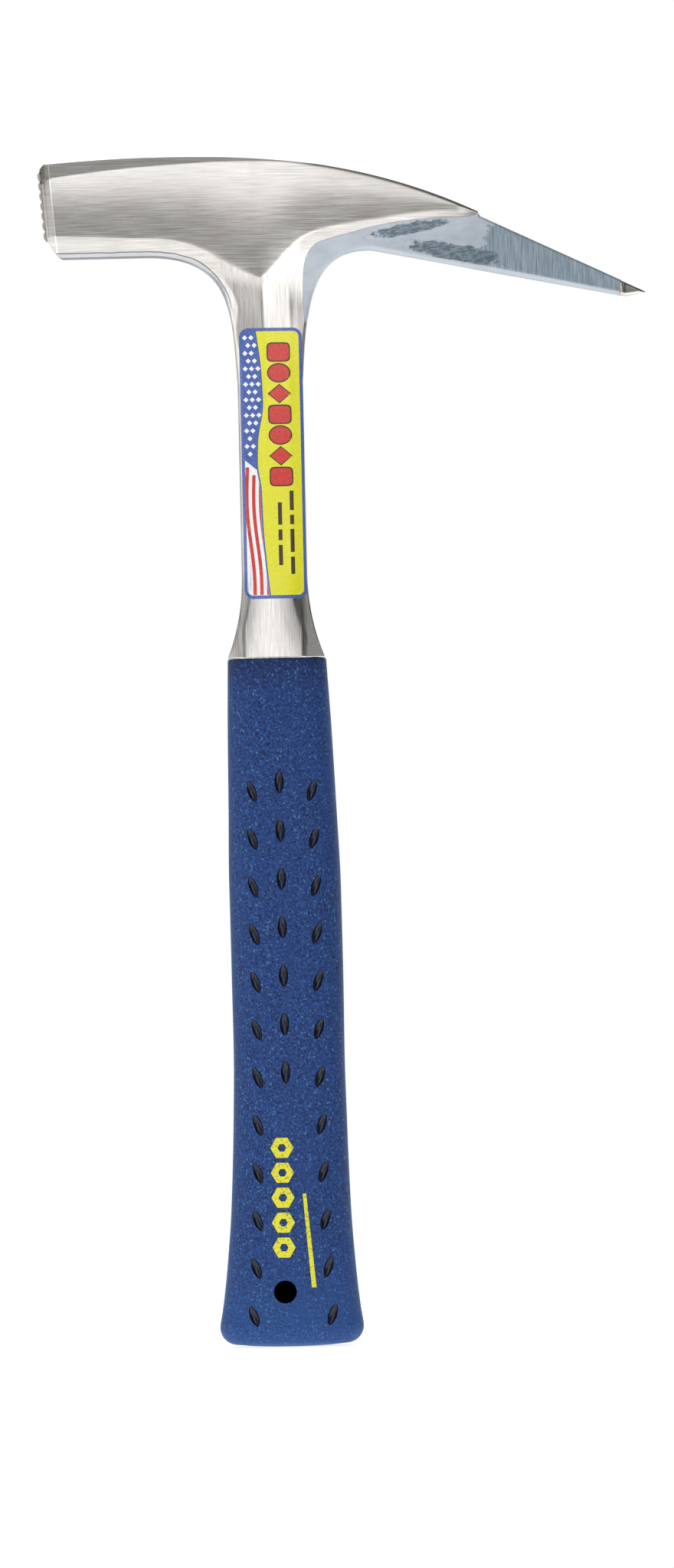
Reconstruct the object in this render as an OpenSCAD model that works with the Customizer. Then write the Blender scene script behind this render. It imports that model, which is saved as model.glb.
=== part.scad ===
// Rock hammer: head, shank and tang forged in one piece, with a moulded grip over the tang.
// The handle stands along Z with its butt at z = 0. The striking face looks along -X, the pick
// points along +X and the labelled side faces -Y. The forging is symmetric about y = 0.

/* [Overall] */
// Height from the butt to the crown of the head
hammer_h = 330.5; // [300:0.5:420]
// Distance from the handle axis to the striking face
face_reach = 62.5; // [52:0.5:80]
// Distance from the handle axis to the tip of the pick
pick_reach = 104.5; // [88:0.5:130]

/* [Head] */
// Height of the poll, from crown line to underside
poll_h = 27.5; // [22:0.5:32]
// Thickness of the head across its polished cheeks
poll_w = 24.4; // [20:0.2:30]
// Thickness of the pick where its taper starts
taper_w = 14; // [11:0.2:17]
// Drop from the crown to the end of the polished cheek
arch_drop = 17; // [14:0.5:20]
// Drop from the crown to the tip of the pick
tip_drop = 40; // [36:0.5:48]
// Length of the unpainted tip
bare_tip = 6.5; // [3:0.5:15]

/* [Shank] */
// Width of the shank, seen from the labelled side
shank_w = 18.2; // [15:0.2:22]
// Thickness of the shank at its central ridge
shank_t = 10.6; // [8:0.2:13]
// Width of the collar where the shank meets the grip
collar_w = 27; // [24:0.2:30]

/* [Grip] */
// Length of the grip
grip_len = 191; // [160:1:215]
// Width of the grip at its middle
grip_w = 31; // [27:0.5:35]
// Width of the flared butt
butt_w = 40; // [35:0.5:44]
// Depth of the grip, front to back, at its middle
grip_t = 24; // [21:0.5:28]
// Sideways bow of the grip, towards the pick
grip_bow = 1; // [0:0.1:2]
// Diameter of the peg hole, which is blind: it ends at the tang on each side
hole_d = 6.35; // [5:0.05:9]
// Length of one thumb dimple
dimple_len = 6.4; // [4:0.1:8]
// Width of one thumb dimple
dimple_w = 2.6; // [1.6:0.1:3.4]

/* [Label] */
// Length of the label along the shank
label_len = 75; // [50:1:80]
// Width of the label
label_w = 17.4; // [12:0.2:18]

/* [Hidden] */

crown_x = -30;                          // where the top line is highest
step_x = 0.56 * pick_reach;             // end of the polished cheek
head_k = poll_h / 27.5;                 // keeps the head's borders in proportion to its height
half_w = shank_w / 2;
ridge_x = -1.7;                         // the shank's ridge stands left of the middle
ridge_fall = 0.24;                      // slope of the neck's two facets
neck_z = hammer_h - 63.5 * head_k;      // where the neck starts to swell
flare_z = grip_len + 24;                // where the collar starts to flare
flare_power = 2.2;                      // how late the collar's sides flare
under_x = half_w + 20;                  // where the right fillet meets the pick
under_drop = 26.8 * head_k;             // drop from the crown to the pick's underside there
heel_x = pick_reach - 5.5;              // lowest point, behind the tip
heel_drop = tip_drop + 1.2;             // drop from the crown to it
step_drop = 1.2;                        // the taper starts this far under the polished cheek
corner_cut = 7;                         // height of the cut corner under the striking face
face_slope = 0.08;                      // the face leans back towards its lower edge
face_mid = hammer_h - 13 * head_k;      // height of the milling's middle
chamfer = 3.3;                          // width of the bevel round the striking face
join_t = 0.6;                           // how far up the fillets the neck's mesh ends
edge_slope = 0.68;                      // slope of the bevel along the head's underside
collar_edge = 3.8;                      // half thickness of the collar at its sides
collar_rise = [1.5, 1.05];              // slopes from its left and right side to its front
tooth_pitch = 2.75;                     // pitch of the milled face
tooth_depth = 0.65;                     // depth of its grooves
skin = 0.12;                            // thickness of paint and label
foil = 0.3;                             // thickness of the emblem
glue = 0.25;                            // thickness of the bonding coat
tang_t = 6;                             // thickness of the tang
tang_top = 18.4;                        // width of the tang under the collar
tang_tip_r = 7.5;                       // radius of the tang's rounded end
tang_seat = 4;                          // how far the tang's outline runs up into the collar
hole_x = -1.4;                          // middle of the peg hole
hole_z = 15.5;                          // its height over the butt
dimple_deep = 1.1;                      // depth of a thumb dimple
label_drop = 15.5 * head_k;             // the label starts this far over the neck
label_r = 2.5;                          // radius of the label's corners
oval_p = 2.3;                           // exponent of the grip's section: 2 is an ellipse

function mix(a, b, t) = a + (b - a) * t;
function clamp(t) = min(1, max(0, t));
function ease(t) = let (s = clamp(t)) s * s * (3 - 2 * s);
function bezier(p, t) =
    pow(1 - t, 3) * p[0] + 3 * t * pow(1 - t, 2) * p[1] + 3 * t * t * (1 - t) * p[2] + pow(t, 3) * p[3];
function steps(a, b, n) = [for (i = [0 : n]) mix(a, b, i / n)];

// ---------------------------------------------------------------- outline of the forging

function crown(x) = hammer_h - (x < crown_x
    ? 0.0014 * pow(x - crown_x, 2)
    : arch_drop * pow((x - crown_x) / (step_x - crown_x), 2.5));
taper_z = hammer_h - arch_drop - step_drop;
function top_z(x) = min(
    x < step_x ? crown(x) : mix(taper_z, hammer_h - tip_drop, (x - step_x) / (pick_reach - step_x)),
    hammer_h - 1.4 + 1.15 * (x + face_reach - 2));

left_fillet = [
    [-half_w, neck_z], [-half_w - 1.2, hammer_h - 43.5 * head_k],
    [-half_w - 0.4, hammer_h - 27.5 * head_k], [-half_w - 25, hammer_h - poll_h]];
right_fillet = [
    [half_w, neck_z], [half_w + 1.3, hammer_h - 43.5 * head_k],
    [half_w + 2.2, hammer_h - 25.5 * head_k], [under_x, hammer_h - under_drop]];

function poll_under(x) = hammer_h - poll_h + corner_cut * pow(clamp((5 - x - face_reach) / 5), 1.6);
function pick_under(x) = x < heel_x
    ? mix(hammer_h - under_drop, hammer_h - heel_drop, (x - under_x) / (heel_x - under_x))
    : mix(hammer_h - heel_drop, hammer_h - tip_drop - 0.25, (x - heel_x) / (pick_reach - heel_x));

// Half width of the shank and collar at height z
function shank_side(z) =
    half_w + (collar_w / 2 - half_w) * pow(clamp((flare_z - z) / (flare_z - grip_len)), flare_power);

side_zs = steps(flare_z, grip_len, 8);
left_line = concat(
    [[-face_reach, hammer_h - poll_h]], [for (t = steps(1, 0, 12)) bezier(left_fillet, t)],
    [for (z = side_zs) [-shank_side(z), z]]);
right_line = concat(
    [[heel_x, hammer_h - heel_drop]], [for (t = steps(1, 0, 12)) bezier(right_fillet, t)],
    [for (z = side_zs) [shank_side(z), z]]);

function to_segment(p, a, b) =
    let (t = clamp((p - a) * (b - a) / ((b - a) * (b - a)))) norm(p - mix(a, b, t));
function to_line(p, line) = min([for (i = [1 : len(line) - 1]) to_segment(p, line[i - 1], line[i])]);

// ---------------------------------------------------------------- thickness of the forging

// Lower border of the polished cheek: [x, drop from the crown]
cheek_border = [
    [-face_reach, 21.4], [-34, 22.9], [-27, 23.8], [-19.5, 25.4], [-10.6, 30.1], [-4, 33],
    [-2, 33.6], [-0.4, 33], [2.7, 30.2], [6, 26.7], [10.2, 23.2], [15.5, 21.1], [28, 18.9],
    [0.48 * pick_reach, 16.6], [step_x, 16.6]];
function border_z(x) = hammer_h - head_k * lookup(x, cheek_border);

function cheek(x) = poll_w / 2 - (poll_w - taper_w - 1) / 2 * pow(clamp((x + 5) / (step_x + 5)), 1.2)
    - 0.35 * max(0, chamfer - x - face_reach) - 0.8 * max(0, 1.5 - x - face_reach);
function taper(x) = mix(taper_w / 2, 0.3, clamp((x - step_x) / (pick_reach - step_x)));
function crown_bevel(x) = 0.5 + 3.4 * clamp((5 - x) / 66);

// Front of the shank: two flat facets in the neck that soften to one curve near the grip
function ridge(p) =
    let (off = min(abs(p[0] - ridge_x), half_w + 2), neck = ease((p[1] - flare_z - 10) / 30))
    shank_t / 2 - mix(0.05, ridge_fall, neck) * off - mix(0.013, 0, neck) * off * off;

// Bevels along the two side outlines: half thickness at the outline, and rise away from it
function strip_root(z) = lookup((z - hammer_h) / head_k, [
    [-60, shank_t * 0.25], [-48.5, shank_t * 0.36], [-42.5, 3.6], [-38.5, 4.3], [-34.5, 5.7], [-27, 8]]);
function strip_slope(z) = lookup((z - hammer_h) / head_k, [[-34, 0.9], [-27, edge_slope]]);
function strip_left(p) = strip_root(p[1]) + strip_slope(p[1]) * to_line(p, left_line);
function strip_right(p) =
    let (far = clamp((p[0] - under_x) / (step_x - under_x)))
    mix(0.6 * strip_root(p[1]), taper_w * 0.4, ease((p[0] - half_w) / 20))
    + mix(edge_slope, 0.1, pow(far, 0.5)) * to_line(p, right_line);

function collar_share(z) = pow(clamp((flare_z - z) / (flare_z - grip_len)), 1.5);
function collar_half(p) =
    let (off = p[0] - ridge_x, far = collar_w / 2)
    max(0.5, min(grip_t * 0.43 - 0.007 * off * off,
        collar_edge + collar_rise[0] * (far + p[0]), collar_edge + collar_rise[1] * (far - p[0])));

function body_half(p) =
    let (x = p[0], z = p[1], swell = exp(min(0, (z - border_z(x)) / (10 * head_k))))
    min(mix(ridge(p), cheek(x), swell), strip_left(p), strip_right(p), cheek(x),
        cheek(x) - crown_bevel(x) + top_z(x) - z);
function taper_half(p) = min(taper(p[0]), taper(p[0]) * 0.82 + 0.7 * to_line(p, right_line),
    taper(p[0]) - 0.4 + top_z(p[0]) - p[1]);
function half_thick(p) = max(0.12,
    p[0] > step_x ? taper_half(p)
    : p[1] > flare_z ? body_half(p)
    : mix(body_half(p), collar_half(p), collar_share(p[1])));

// ---------------------------------------------------------------- mesh of the forging

across = [0, 0.05, 0.12, 0.22, 0.32, 0.41, 0.5, 0.6, 0.7, 0.8, 0.88, 0.95, 1];
cols = len(across) - 1;
face_xs = [-face_reach, -face_reach + 0.8, -face_reach + 1.5, -face_reach + chamfer];
poll_cols = 6;
fillet_cols = 5;

neck_l = bezier(left_fillet, join_t);
neck_r = bezier(right_fillet, join_t);
// Lower end of each station of the head: [x, z]
stations = concat(
    [for (x = face_xs) [x, poll_under(x)]],
    [for (x = steps(-face_reach + 5, -half_w - 25, poll_cols)) [x, poll_under(x)]],
    [for (t = steps(0.93, join_t + 0.06, fillet_cols)) bezier(left_fillet, t)],
    [for (u = across) mix(neck_l, neck_r, u)],
    [for (t = steps(join_t + 0.06, 0.93, fillet_cols)) bezier(right_fillet, t)],
    [for (x = steps(under_x, step_x - 0.4, 7)) [x, pick_under(x)]],
    [for (x = steps(step_x + 0.4, heel_x, 9)) [x, pick_under(x)]],
    [for (x = steps(heel_x + 1.5, pick_reach, 3)) [x, pick_under(x)]]);
first_col = len(face_xs) + poll_cols + 1 + fillet_cols + 1;     // where the neck joins the head
rows_low = 5;
rows_mid = 6;
rows_top = 2;
rows = rows_low + rows_mid + rows_top;
last = len(stations) - 1;

function station_z(s, j) =
    let (lo = s[1], hi = top_z(s[0]), edge = mix(lo, hi, 0.4),
        mid = s[0] > step_x ? edge : min(border_z(s[0]), hi - 1),
        up = hi - min(crown_bevel(s[0]), (hi - mid) / 3))
    j <= rows_low ? mix(lo, mid, j / rows_low)
    : j <= rows_low + rows_mid ? mix(mid, up, (j - rows_low) / rows_mid)
    : mix(up, hi, (j - rows_low - rows_mid) / rows_top);

neck_ts = steps(join_t - 0.06, 0.06, 9);
flare_rows = 8;
shank_zs = concat(
    steps(neck_z, flare_z, 7), [for (i = [1 : flare_rows]) mix(flare_z, grip_len, i / flare_rows)]);
neck_rows = concat(
    [for (t = neck_ts) [bezier(left_fillet, t), bezier(right_fillet, t)]],
    [for (z = shank_zs) [[-shank_side(z), z], [shank_side(z), z]]]);
n_neck = len(neck_rows);

function lean(p) = p[0] - face_slope * (p[1] - face_mid) * clamp((-p[0] - face_reach + 14) / 14);
function grow(p, extra, out) = [lean(p) + out[0], -half_thick(p) - extra, p[1] + out[1]];
// -1 at the first of n + 1 places, 1 at the last, 0 between
function end_sign(k, n) = k == 0 ? -1 : k == n ? 1 : 0;

function sheet(extra) = concat(
    [for (s = stations, j = [0 : rows]) grow([s[0], station_z(s, j)], extra, [0, extra * end_sign(j, rows)])],
    [for (r = neck_rows, c = [0 : cols])
        grow(mix(r[0], r[1], across[c]), extra, [extra * end_sign(c, cols), 0])]);

function head_id(i, j) = i * (rows + 1) + j;
function neck_id(r, c) = r == 0
    ? head_id(first_col + c, 0)
    : (last + 1) * (rows + 1) + (r - 1) * (cols + 1) + c;
function pair(a, b, c, d) = [[a, b, c], [a, c, d]];

front_faces = concat(
    [for (i = [0 : last - 1], j = [0 : rows - 1], f = pair(
        head_id(i, j), head_id(i, j + 1), head_id(i + 1, j + 1), head_id(i + 1, j))) f],
    [for (r = [0 : n_neck - 1], c = [0 : cols - 1], f = pair(
        neck_id(r, c), neck_id(r, c + 1), neck_id(r + 1, c + 1), neck_id(r + 1, c))) f]);
rim = concat(
    [for (i = [0 : first_col]) head_id(i, 0)],
    [for (r = [1 : n_neck]) neck_id(r, 0)],
    [for (c = [1 : cols]) neck_id(n_neck, c)],
    [for (r = [1 : n_neck - 1]) neck_id(n_neck - r, cols)],
    [for (i = [first_col + cols : last]) head_id(i, 0)],
    [for (j = [1 : rows]) head_id(last, j)],
    [for (i = [1 : last]) head_id(last - i, rows)],
    [for (j = [1 : rows - 1]) head_id(0, rows - j)]);

// Front sheet, its mirror image and the wall between them, all pushed out by extra
module slab(extra = 0) {
    front = sheet(extra);
    n = len(front);
    back = [for (p = front) [p[0], -p[1], p[2]]];
    m = len(rim);
    polyhedron(
        points = concat(front, back),
        faces = concat(
            front_faces,
            [for (f = front_faces) [f[2] + n, f[1] + n, f[0] + n]],
            [for (k = [0 : m - 1]) let (a = rim[k], b = rim[(k + 1) % m], f = pair(a, b, b + n, a + n))
                each f]));
}

// ---------------------------------------------------------------- forging

// Blade of the tang, thicker by extra on every side
module tang_blade(extra) {
    top = grip_len + tang_seat;
    rotate([90, 0, 0]) linear_extrude(tang_t + 2 * extra, center = true) {
        polygon([
            [-tang_top / 2 - extra, top], [tang_top / 2 + extra, top],
            [hole_x + tang_tip_r + extra, hole_z], [hole_x - tang_tip_r - extra, hole_z]]);
        translate([hole_x, hole_z]) circle(tang_tip_r + extra);
    }
}

// Grooves milled across the striking face, both ways; the upright ones are a little shallower
module face_grooves() {
    side = tooth_depth * sqrt(2);
    upright = 0.8 * side;
    for (k = [-3.5 : 3.5]) {
        translate([-face_reach, k * tooth_pitch, face_mid]) rotate([0, atan(-face_slope), 0])
            rotate([0, 0, 45]) cube([upright, upright, 40], center = true);
        translate([-face_reach - face_slope * k * tooth_pitch, 0, face_mid + k * tooth_pitch])
            rotate([0, 45, 0]) cube([side, 40, side], center = true);
    }
}

module forging() {
    color("silver") {
        resize([0, 0, 0]) difference() {
            slab();
            face_grooves();
        }
        tang_blade(0);
    }
}

// ---------------------------------------------------------------- grip and bonding coat

// Share of the grip's length from the butt, its half width, and its half depth as a share of grip_t / 2
grip_rings = [
    [0, 0.86 * butt_w / 2, 0.80], [0.006, 0.95 * butt_w / 2, 0.93], [0.016, 0.99 * butt_w / 2, 1.02],
    [0.03, butt_w / 2, 1.06], [0.065, butt_w / 2 - 1.1, 1.06], [0.13, butt_w / 2 - 2.4, 1.04],
    [0.2, mix(grip_w, butt_w, 0.25) / 2, 1.02], [0.33, grip_w / 2 + 0.25, 1], [0.43, grip_w / 2 - 0.1, 0.99],
    [0.55, grip_w / 2, 1], [0.67, grip_w / 2, 1], [0.78, grip_w / 2 - 0.5, 0.98],
    [0.9, mix(grip_w, collar_w, 0.55) / 2, 0.94], [1, collar_w / 2 + 0.15, 0.88]];
ring_xs = [for (r = grip_rings) [r[0], r[1]]];
ring_ys = [for (r = grip_rings) [r[0], r[2] * grip_t / 2]];
// Finer rings between, with a smooth line through the hand-set ones
function smooth_key(t, keys) =
    let (h = 0.02) (lookup(t - h, keys) + 2 * lookup(t, keys) + lookup(t + h, keys)) / 4;
grip_levels = concat([0, 0.004, 0.009, 0.016, 0.024, 0.035, 0.05], steps(0.075, 1, 30));
function level_x(t) = t < 0.06 ? lookup(t, ring_xs) : smooth_key(t, ring_xs);
function level_y(t) = t < 0.06 ? lookup(t, ring_ys) : smooth_key(t, ring_ys);
function bow(t) = grip_bow * sin(180 * clamp(t)) + 0.1;
// Share of the half width or half depth at a sine or cosine of the section's angle
function oval(a) = sign(a) * pow(abs(a), 2 / oval_p);
ring_n = 44;
function grip_ring(t, extra) = [for (k = [0 : ring_n - 1]) let (a = 360 * k / ring_n)
    [bow(t) + (level_x(t) + extra) * oval(cos(a)), (level_y(t) + extra) * oval(sin(a)), t * grip_len]];

module loft(rings) {
    n = len(rings[0]);
    m = len(rings);
    polyhedron(
        points = [for (r = rings) each r],
        faces = concat(
            [[for (k = [0 : n - 1]) k]],
            [for (i = [0 : m - 2], k = [0 : n - 1], f = pair(
                i * n + k, (i + 1) * n + k, (i + 1) * n + (k + 1) % n, i * n + (k + 1) % n)) f],
            [[for (k = [0 : n - 1]) m * n - 1 - k]]));
}

module grip_body(extra = 0) {
    loft([for (t = grip_levels) grip_ring(t, extra)]);
}

// Distance of the grip's front from y = 0 at x and z
function grip_depth(x, z) =
    let (t = z / grip_len, u = min(0.98, abs(x - bow(t)) / level_x(t)))
    level_y(t) * pow(1 - pow(u, oval_p), 1 / oval_p);

side_dimples = 12;
mid_dimples = 7;
dimple_top = 0.807;                     // heights and steps are shares of the grip's length
mid_top = 0.82;
dimple_step = 0.0691;
mid_step = 0.0702;
dimple_lean = 22;                       // degrees
dimple_out = 0.56;                      // share of the half width
// Each dimple: [x, height, lean]
dimple_spots = concat(
    [for (k = [0 : mid_dimples - 1]) [0, (mid_top - k * mid_step) * grip_len, 0]],
    [for (k = [0 : side_dimples - 1], s = [-1, 1]) let (t = dimple_top - k * dimple_step)
        [bow(t) * 0.4 + s * (dimple_out + 0.03 * s) * level_x(t), t * grip_len, s * dimple_lean]]);

module dimple(spot) {
    r = dimple_w / 2;
    x = spot[0];
    z = spot[1];
    tilt = atan((grip_depth(x - 1, z) - grip_depth(x + 1, z)) / 2);
    translate([x, -grip_depth(x, z), z]) rotate([0, spot[2], tilt])
        scale([1, dimple_deep / r, 1]) rotate_extrude($fn = 10)
            polygon([[0, -dimple_len / 2], [r * 0.72, -dimple_len / 4], [r, 0],
                [r * 0.72, dimple_len / 4], [0, dimple_len / 2]]);
}

module grip() {
    color("royalblue") difference() {
        resize([0, 0, 0]) difference() {
            grip_body();
            for (spot = dimple_spots, back = [0, 1]) mirror([0, back, 0]) dimple(spot);
        }
        tang_blade(glue);
        translate([hole_x, 0, hole_z]) rotate([90, 0, 0]) cylinder(d = hole_d, h = 2 * grip_t, center = true);
    }
}

module bond_coat() {
    color("darkslategray") difference() {
        tang_blade(glue);
        tang_blade(0);
        translate([-collar_w, -collar_w, grip_len]) cube([2 * collar_w, 2 * collar_w, 2 * tang_seat]);
    }
}

// ---------------------------------------------------------------- label, emblem and paint

module plate(w, h, r) {
    offset(r = r, $fn = 32) square([w - 2 * r, h - 2 * r], center = true);
}

// Front skin of the forging inside an outline drawn in the X-Z plane
module skin_patch(front_only) {
    resize([0, 0, 0]) difference() {
        intersection() {
            slab(skin);
            rotate([90, 0, 0]) linear_extrude(40, center = !front_only) children();
        }
        slab();
    }
}

module shank_label() {
    color("gold") skin_patch(true)
        translate([0.3, neck_z + label_drop - label_len / 2]) plate(label_w, label_len, label_r);
}

// Painted zone: everything right of and below the crease under the polished cheek
module paint_zone() {
    k = head_k;
    polygon([
        [half_w + 0.9, hammer_h - 47 * k], [half_w + 0.7, hammer_h - 38 * k],
        [half_w + 1.5, hammer_h - 29 * k],
        [half_w + 4.6, hammer_h - 24.9 * k], [half_w + 8.1, hammer_h - 23.7 * k],
        [under_x - 0.7, hammer_h - 20.75 * k], [0.35 * pick_reach, hammer_h - 19.4 * k],
        [0.5 * pick_reach, hammer_h - 18.4 * k], [step_x - 2, hammer_h - 18.3 * k],
        [step_x + 0.2, hammer_h - arch_drop - 0.4],
        [step_x + 0.4, hammer_h], [pick_reach - bare_tip, hammer_h],
        [pick_reach - bare_tip - 1.5, hammer_h - 2 * tip_drop],
        [half_w + 20, hammer_h - 1.25 * tip_drop]]);
}

module pick_paint() {
    color("lightsteelblue") skin_patch(false) paint_zone();
}

// A column of six-sided tiles with a tapered bar beside it
module emblem_marks() {
    for (k = [0 : 4])
        translate([-1.5, 0.29 * grip_len - k * 6.9]) circle(r = 3.2, $fn = 6);
    translate([bow(0.15) + 5, 0.155 * grip_len]) polygon([[-1.6, 13], [-0.6, 13], [1.7, -13], [0.4, -13]]);
}

module grip_emblem() {
    color("yellow") resize([0, 0, 0]) difference() {
        intersection() {
            grip_body(foil);
            rotate([90, 0, 0]) linear_extrude(40) emblem_marks();
        }
        grip_body();
    }
}

forging();
grip();
bond_coat();
shank_label();
grip_emblem();
pick_paint();
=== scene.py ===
"""Finished meshes and materials for a rock hammer: one steel forging with a moulded grip.

The handle stands along Z with its butt at z = 0. The striking face looks along -X, the pick
points along +X and the labelled side faces -Y. Sizes are in millimetres, and turn to metres
where a mesh is made.
"""
import logging
import math
from dataclasses import dataclass, field
from enum import Enum
from typing import Callable, Iterable, Sequence

import bmesh
import bpy
import numpy as np
from mathutils import Matrix, Vector


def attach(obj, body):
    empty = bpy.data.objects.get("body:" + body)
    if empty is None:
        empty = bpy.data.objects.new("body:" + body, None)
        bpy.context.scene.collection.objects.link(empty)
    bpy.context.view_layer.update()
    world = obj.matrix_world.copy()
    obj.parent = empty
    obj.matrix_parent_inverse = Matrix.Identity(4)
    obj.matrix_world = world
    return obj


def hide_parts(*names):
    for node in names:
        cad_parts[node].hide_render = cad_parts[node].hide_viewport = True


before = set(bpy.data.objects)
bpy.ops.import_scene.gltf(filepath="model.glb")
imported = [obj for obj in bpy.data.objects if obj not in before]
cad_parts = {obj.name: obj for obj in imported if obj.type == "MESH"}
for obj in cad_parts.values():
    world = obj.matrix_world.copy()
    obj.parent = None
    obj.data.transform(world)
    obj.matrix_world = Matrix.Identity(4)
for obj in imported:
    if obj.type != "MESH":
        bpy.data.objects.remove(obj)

LOG = logging.getLogger("rock_hammer")
MM = 0.001
Array = np.ndarray
Value = np.ndarray | float
Line = Callable[[Array], Array]
Node = bpy.types.Node
Socket = bpy.types.NodeSocket
Wire = Node | Socket
Piece = bpy.types.Object
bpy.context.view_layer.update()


# ------------------------------------------------------------------ plain mathematics


def smooth_min(a: Array, b: Array, blend: float) -> Array:
    """Smaller of two fields, rounded over a band where they are close.

    Args:
        a: First field.
        b: Second field.
        blend: Difference under which the two are blended.

    Returns:
        The blended field.
    """
    near = np.maximum(blend - np.abs(a - b), 0.0) / blend
    return np.minimum(a, b) - near * near * blend * 0.25


def ease(t: Array) -> Array:
    """Smooth step from 0 to 1."""
    s = np.clip(t, 0.0, 1.0)
    return s * s * (3.0 - 2.0 * s)


def mix(a: Value, b: Value, t: Value) -> Value:
    """Linear blend from a to b at share t."""
    return a + (b - a) * t


def curve(x: Array, keys: Sequence[tuple[float, float]]) -> Array:
    """Smooth line through given keys that never swings past them.

    Args:
        x: Where the line is read.
        keys: (place, value) pairs in rising order of place.

    Returns:
        The line's value at each x.
    """
    xs, ys = np.array(keys, dtype=float).T
    slope = np.diff(ys) / np.diff(xs)
    product = slope[:-1] * slope[1:]
    total = np.where(np.abs(slope[:-1] + slope[1:]) > 1e-9, slope[:-1] + slope[1:], 1.0)
    inner = np.where(product > 0, 2.0 * product / total, 0.0)
    tangent = np.concatenate([[slope[0]], inner, [slope[-1]]])
    x = np.clip(np.asarray(x, dtype=float), xs[0], xs[-1])
    i = np.clip(np.searchsorted(xs, x) - 1, 0, len(xs) - 2)
    h = xs[i + 1] - xs[i]
    t = (x - xs[i]) / h
    return (
        (2 * t**3 - 3 * t**2 + 1) * ys[i]
        + (t**3 - 2 * t**2 + t) * h * tangent[i]
        + (-2 * t**3 + 3 * t**2) * ys[i + 1]
        + (t**3 - t**2) * h * tangent[i + 1]
    )


def bezier(points: Sequence[tuple[float, float]], t: Array) -> Array:
    """Points of a cubic Bezier curve, one row for each t."""
    p = np.array(points, dtype=float)
    t = np.atleast_1d(t)[:, None]
    return (1 - t) ** 3 * p[0] + 3 * t * (1 - t) ** 2 * p[1] + 3 * t * t * (1 - t) * p[2] + t**3 * p[3]


def distance_to(points: Array, line: Array) -> Array:
    """Shortest distance from each point to a line of straight segments.

    Args:
        points: Two columns, one row for each point.
        line: Two columns, the segments' ends in order.

    Returns:
        One distance for each point.
    """
    best = np.full(len(points), 1e9)
    for a, b in zip(line[:-1], line[1:]):
        d = b - a
        t = np.clip(((points - a) @ d) / max(float(d @ d), 1e-12), 0.0, 1.0)
        best = np.minimum(best, np.hypot(*(points - a - t[:, None] * d).T))
    return best


def spread(first: float, last: float, step: float) -> Array:
    """Even places from first to last, no further apart than step."""
    count = max(2, int(math.ceil(abs(last - first) / step)) + 1)
    return np.linspace(first, last, count)


# ------------------------------------------------------------------ shape of the forging


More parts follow.
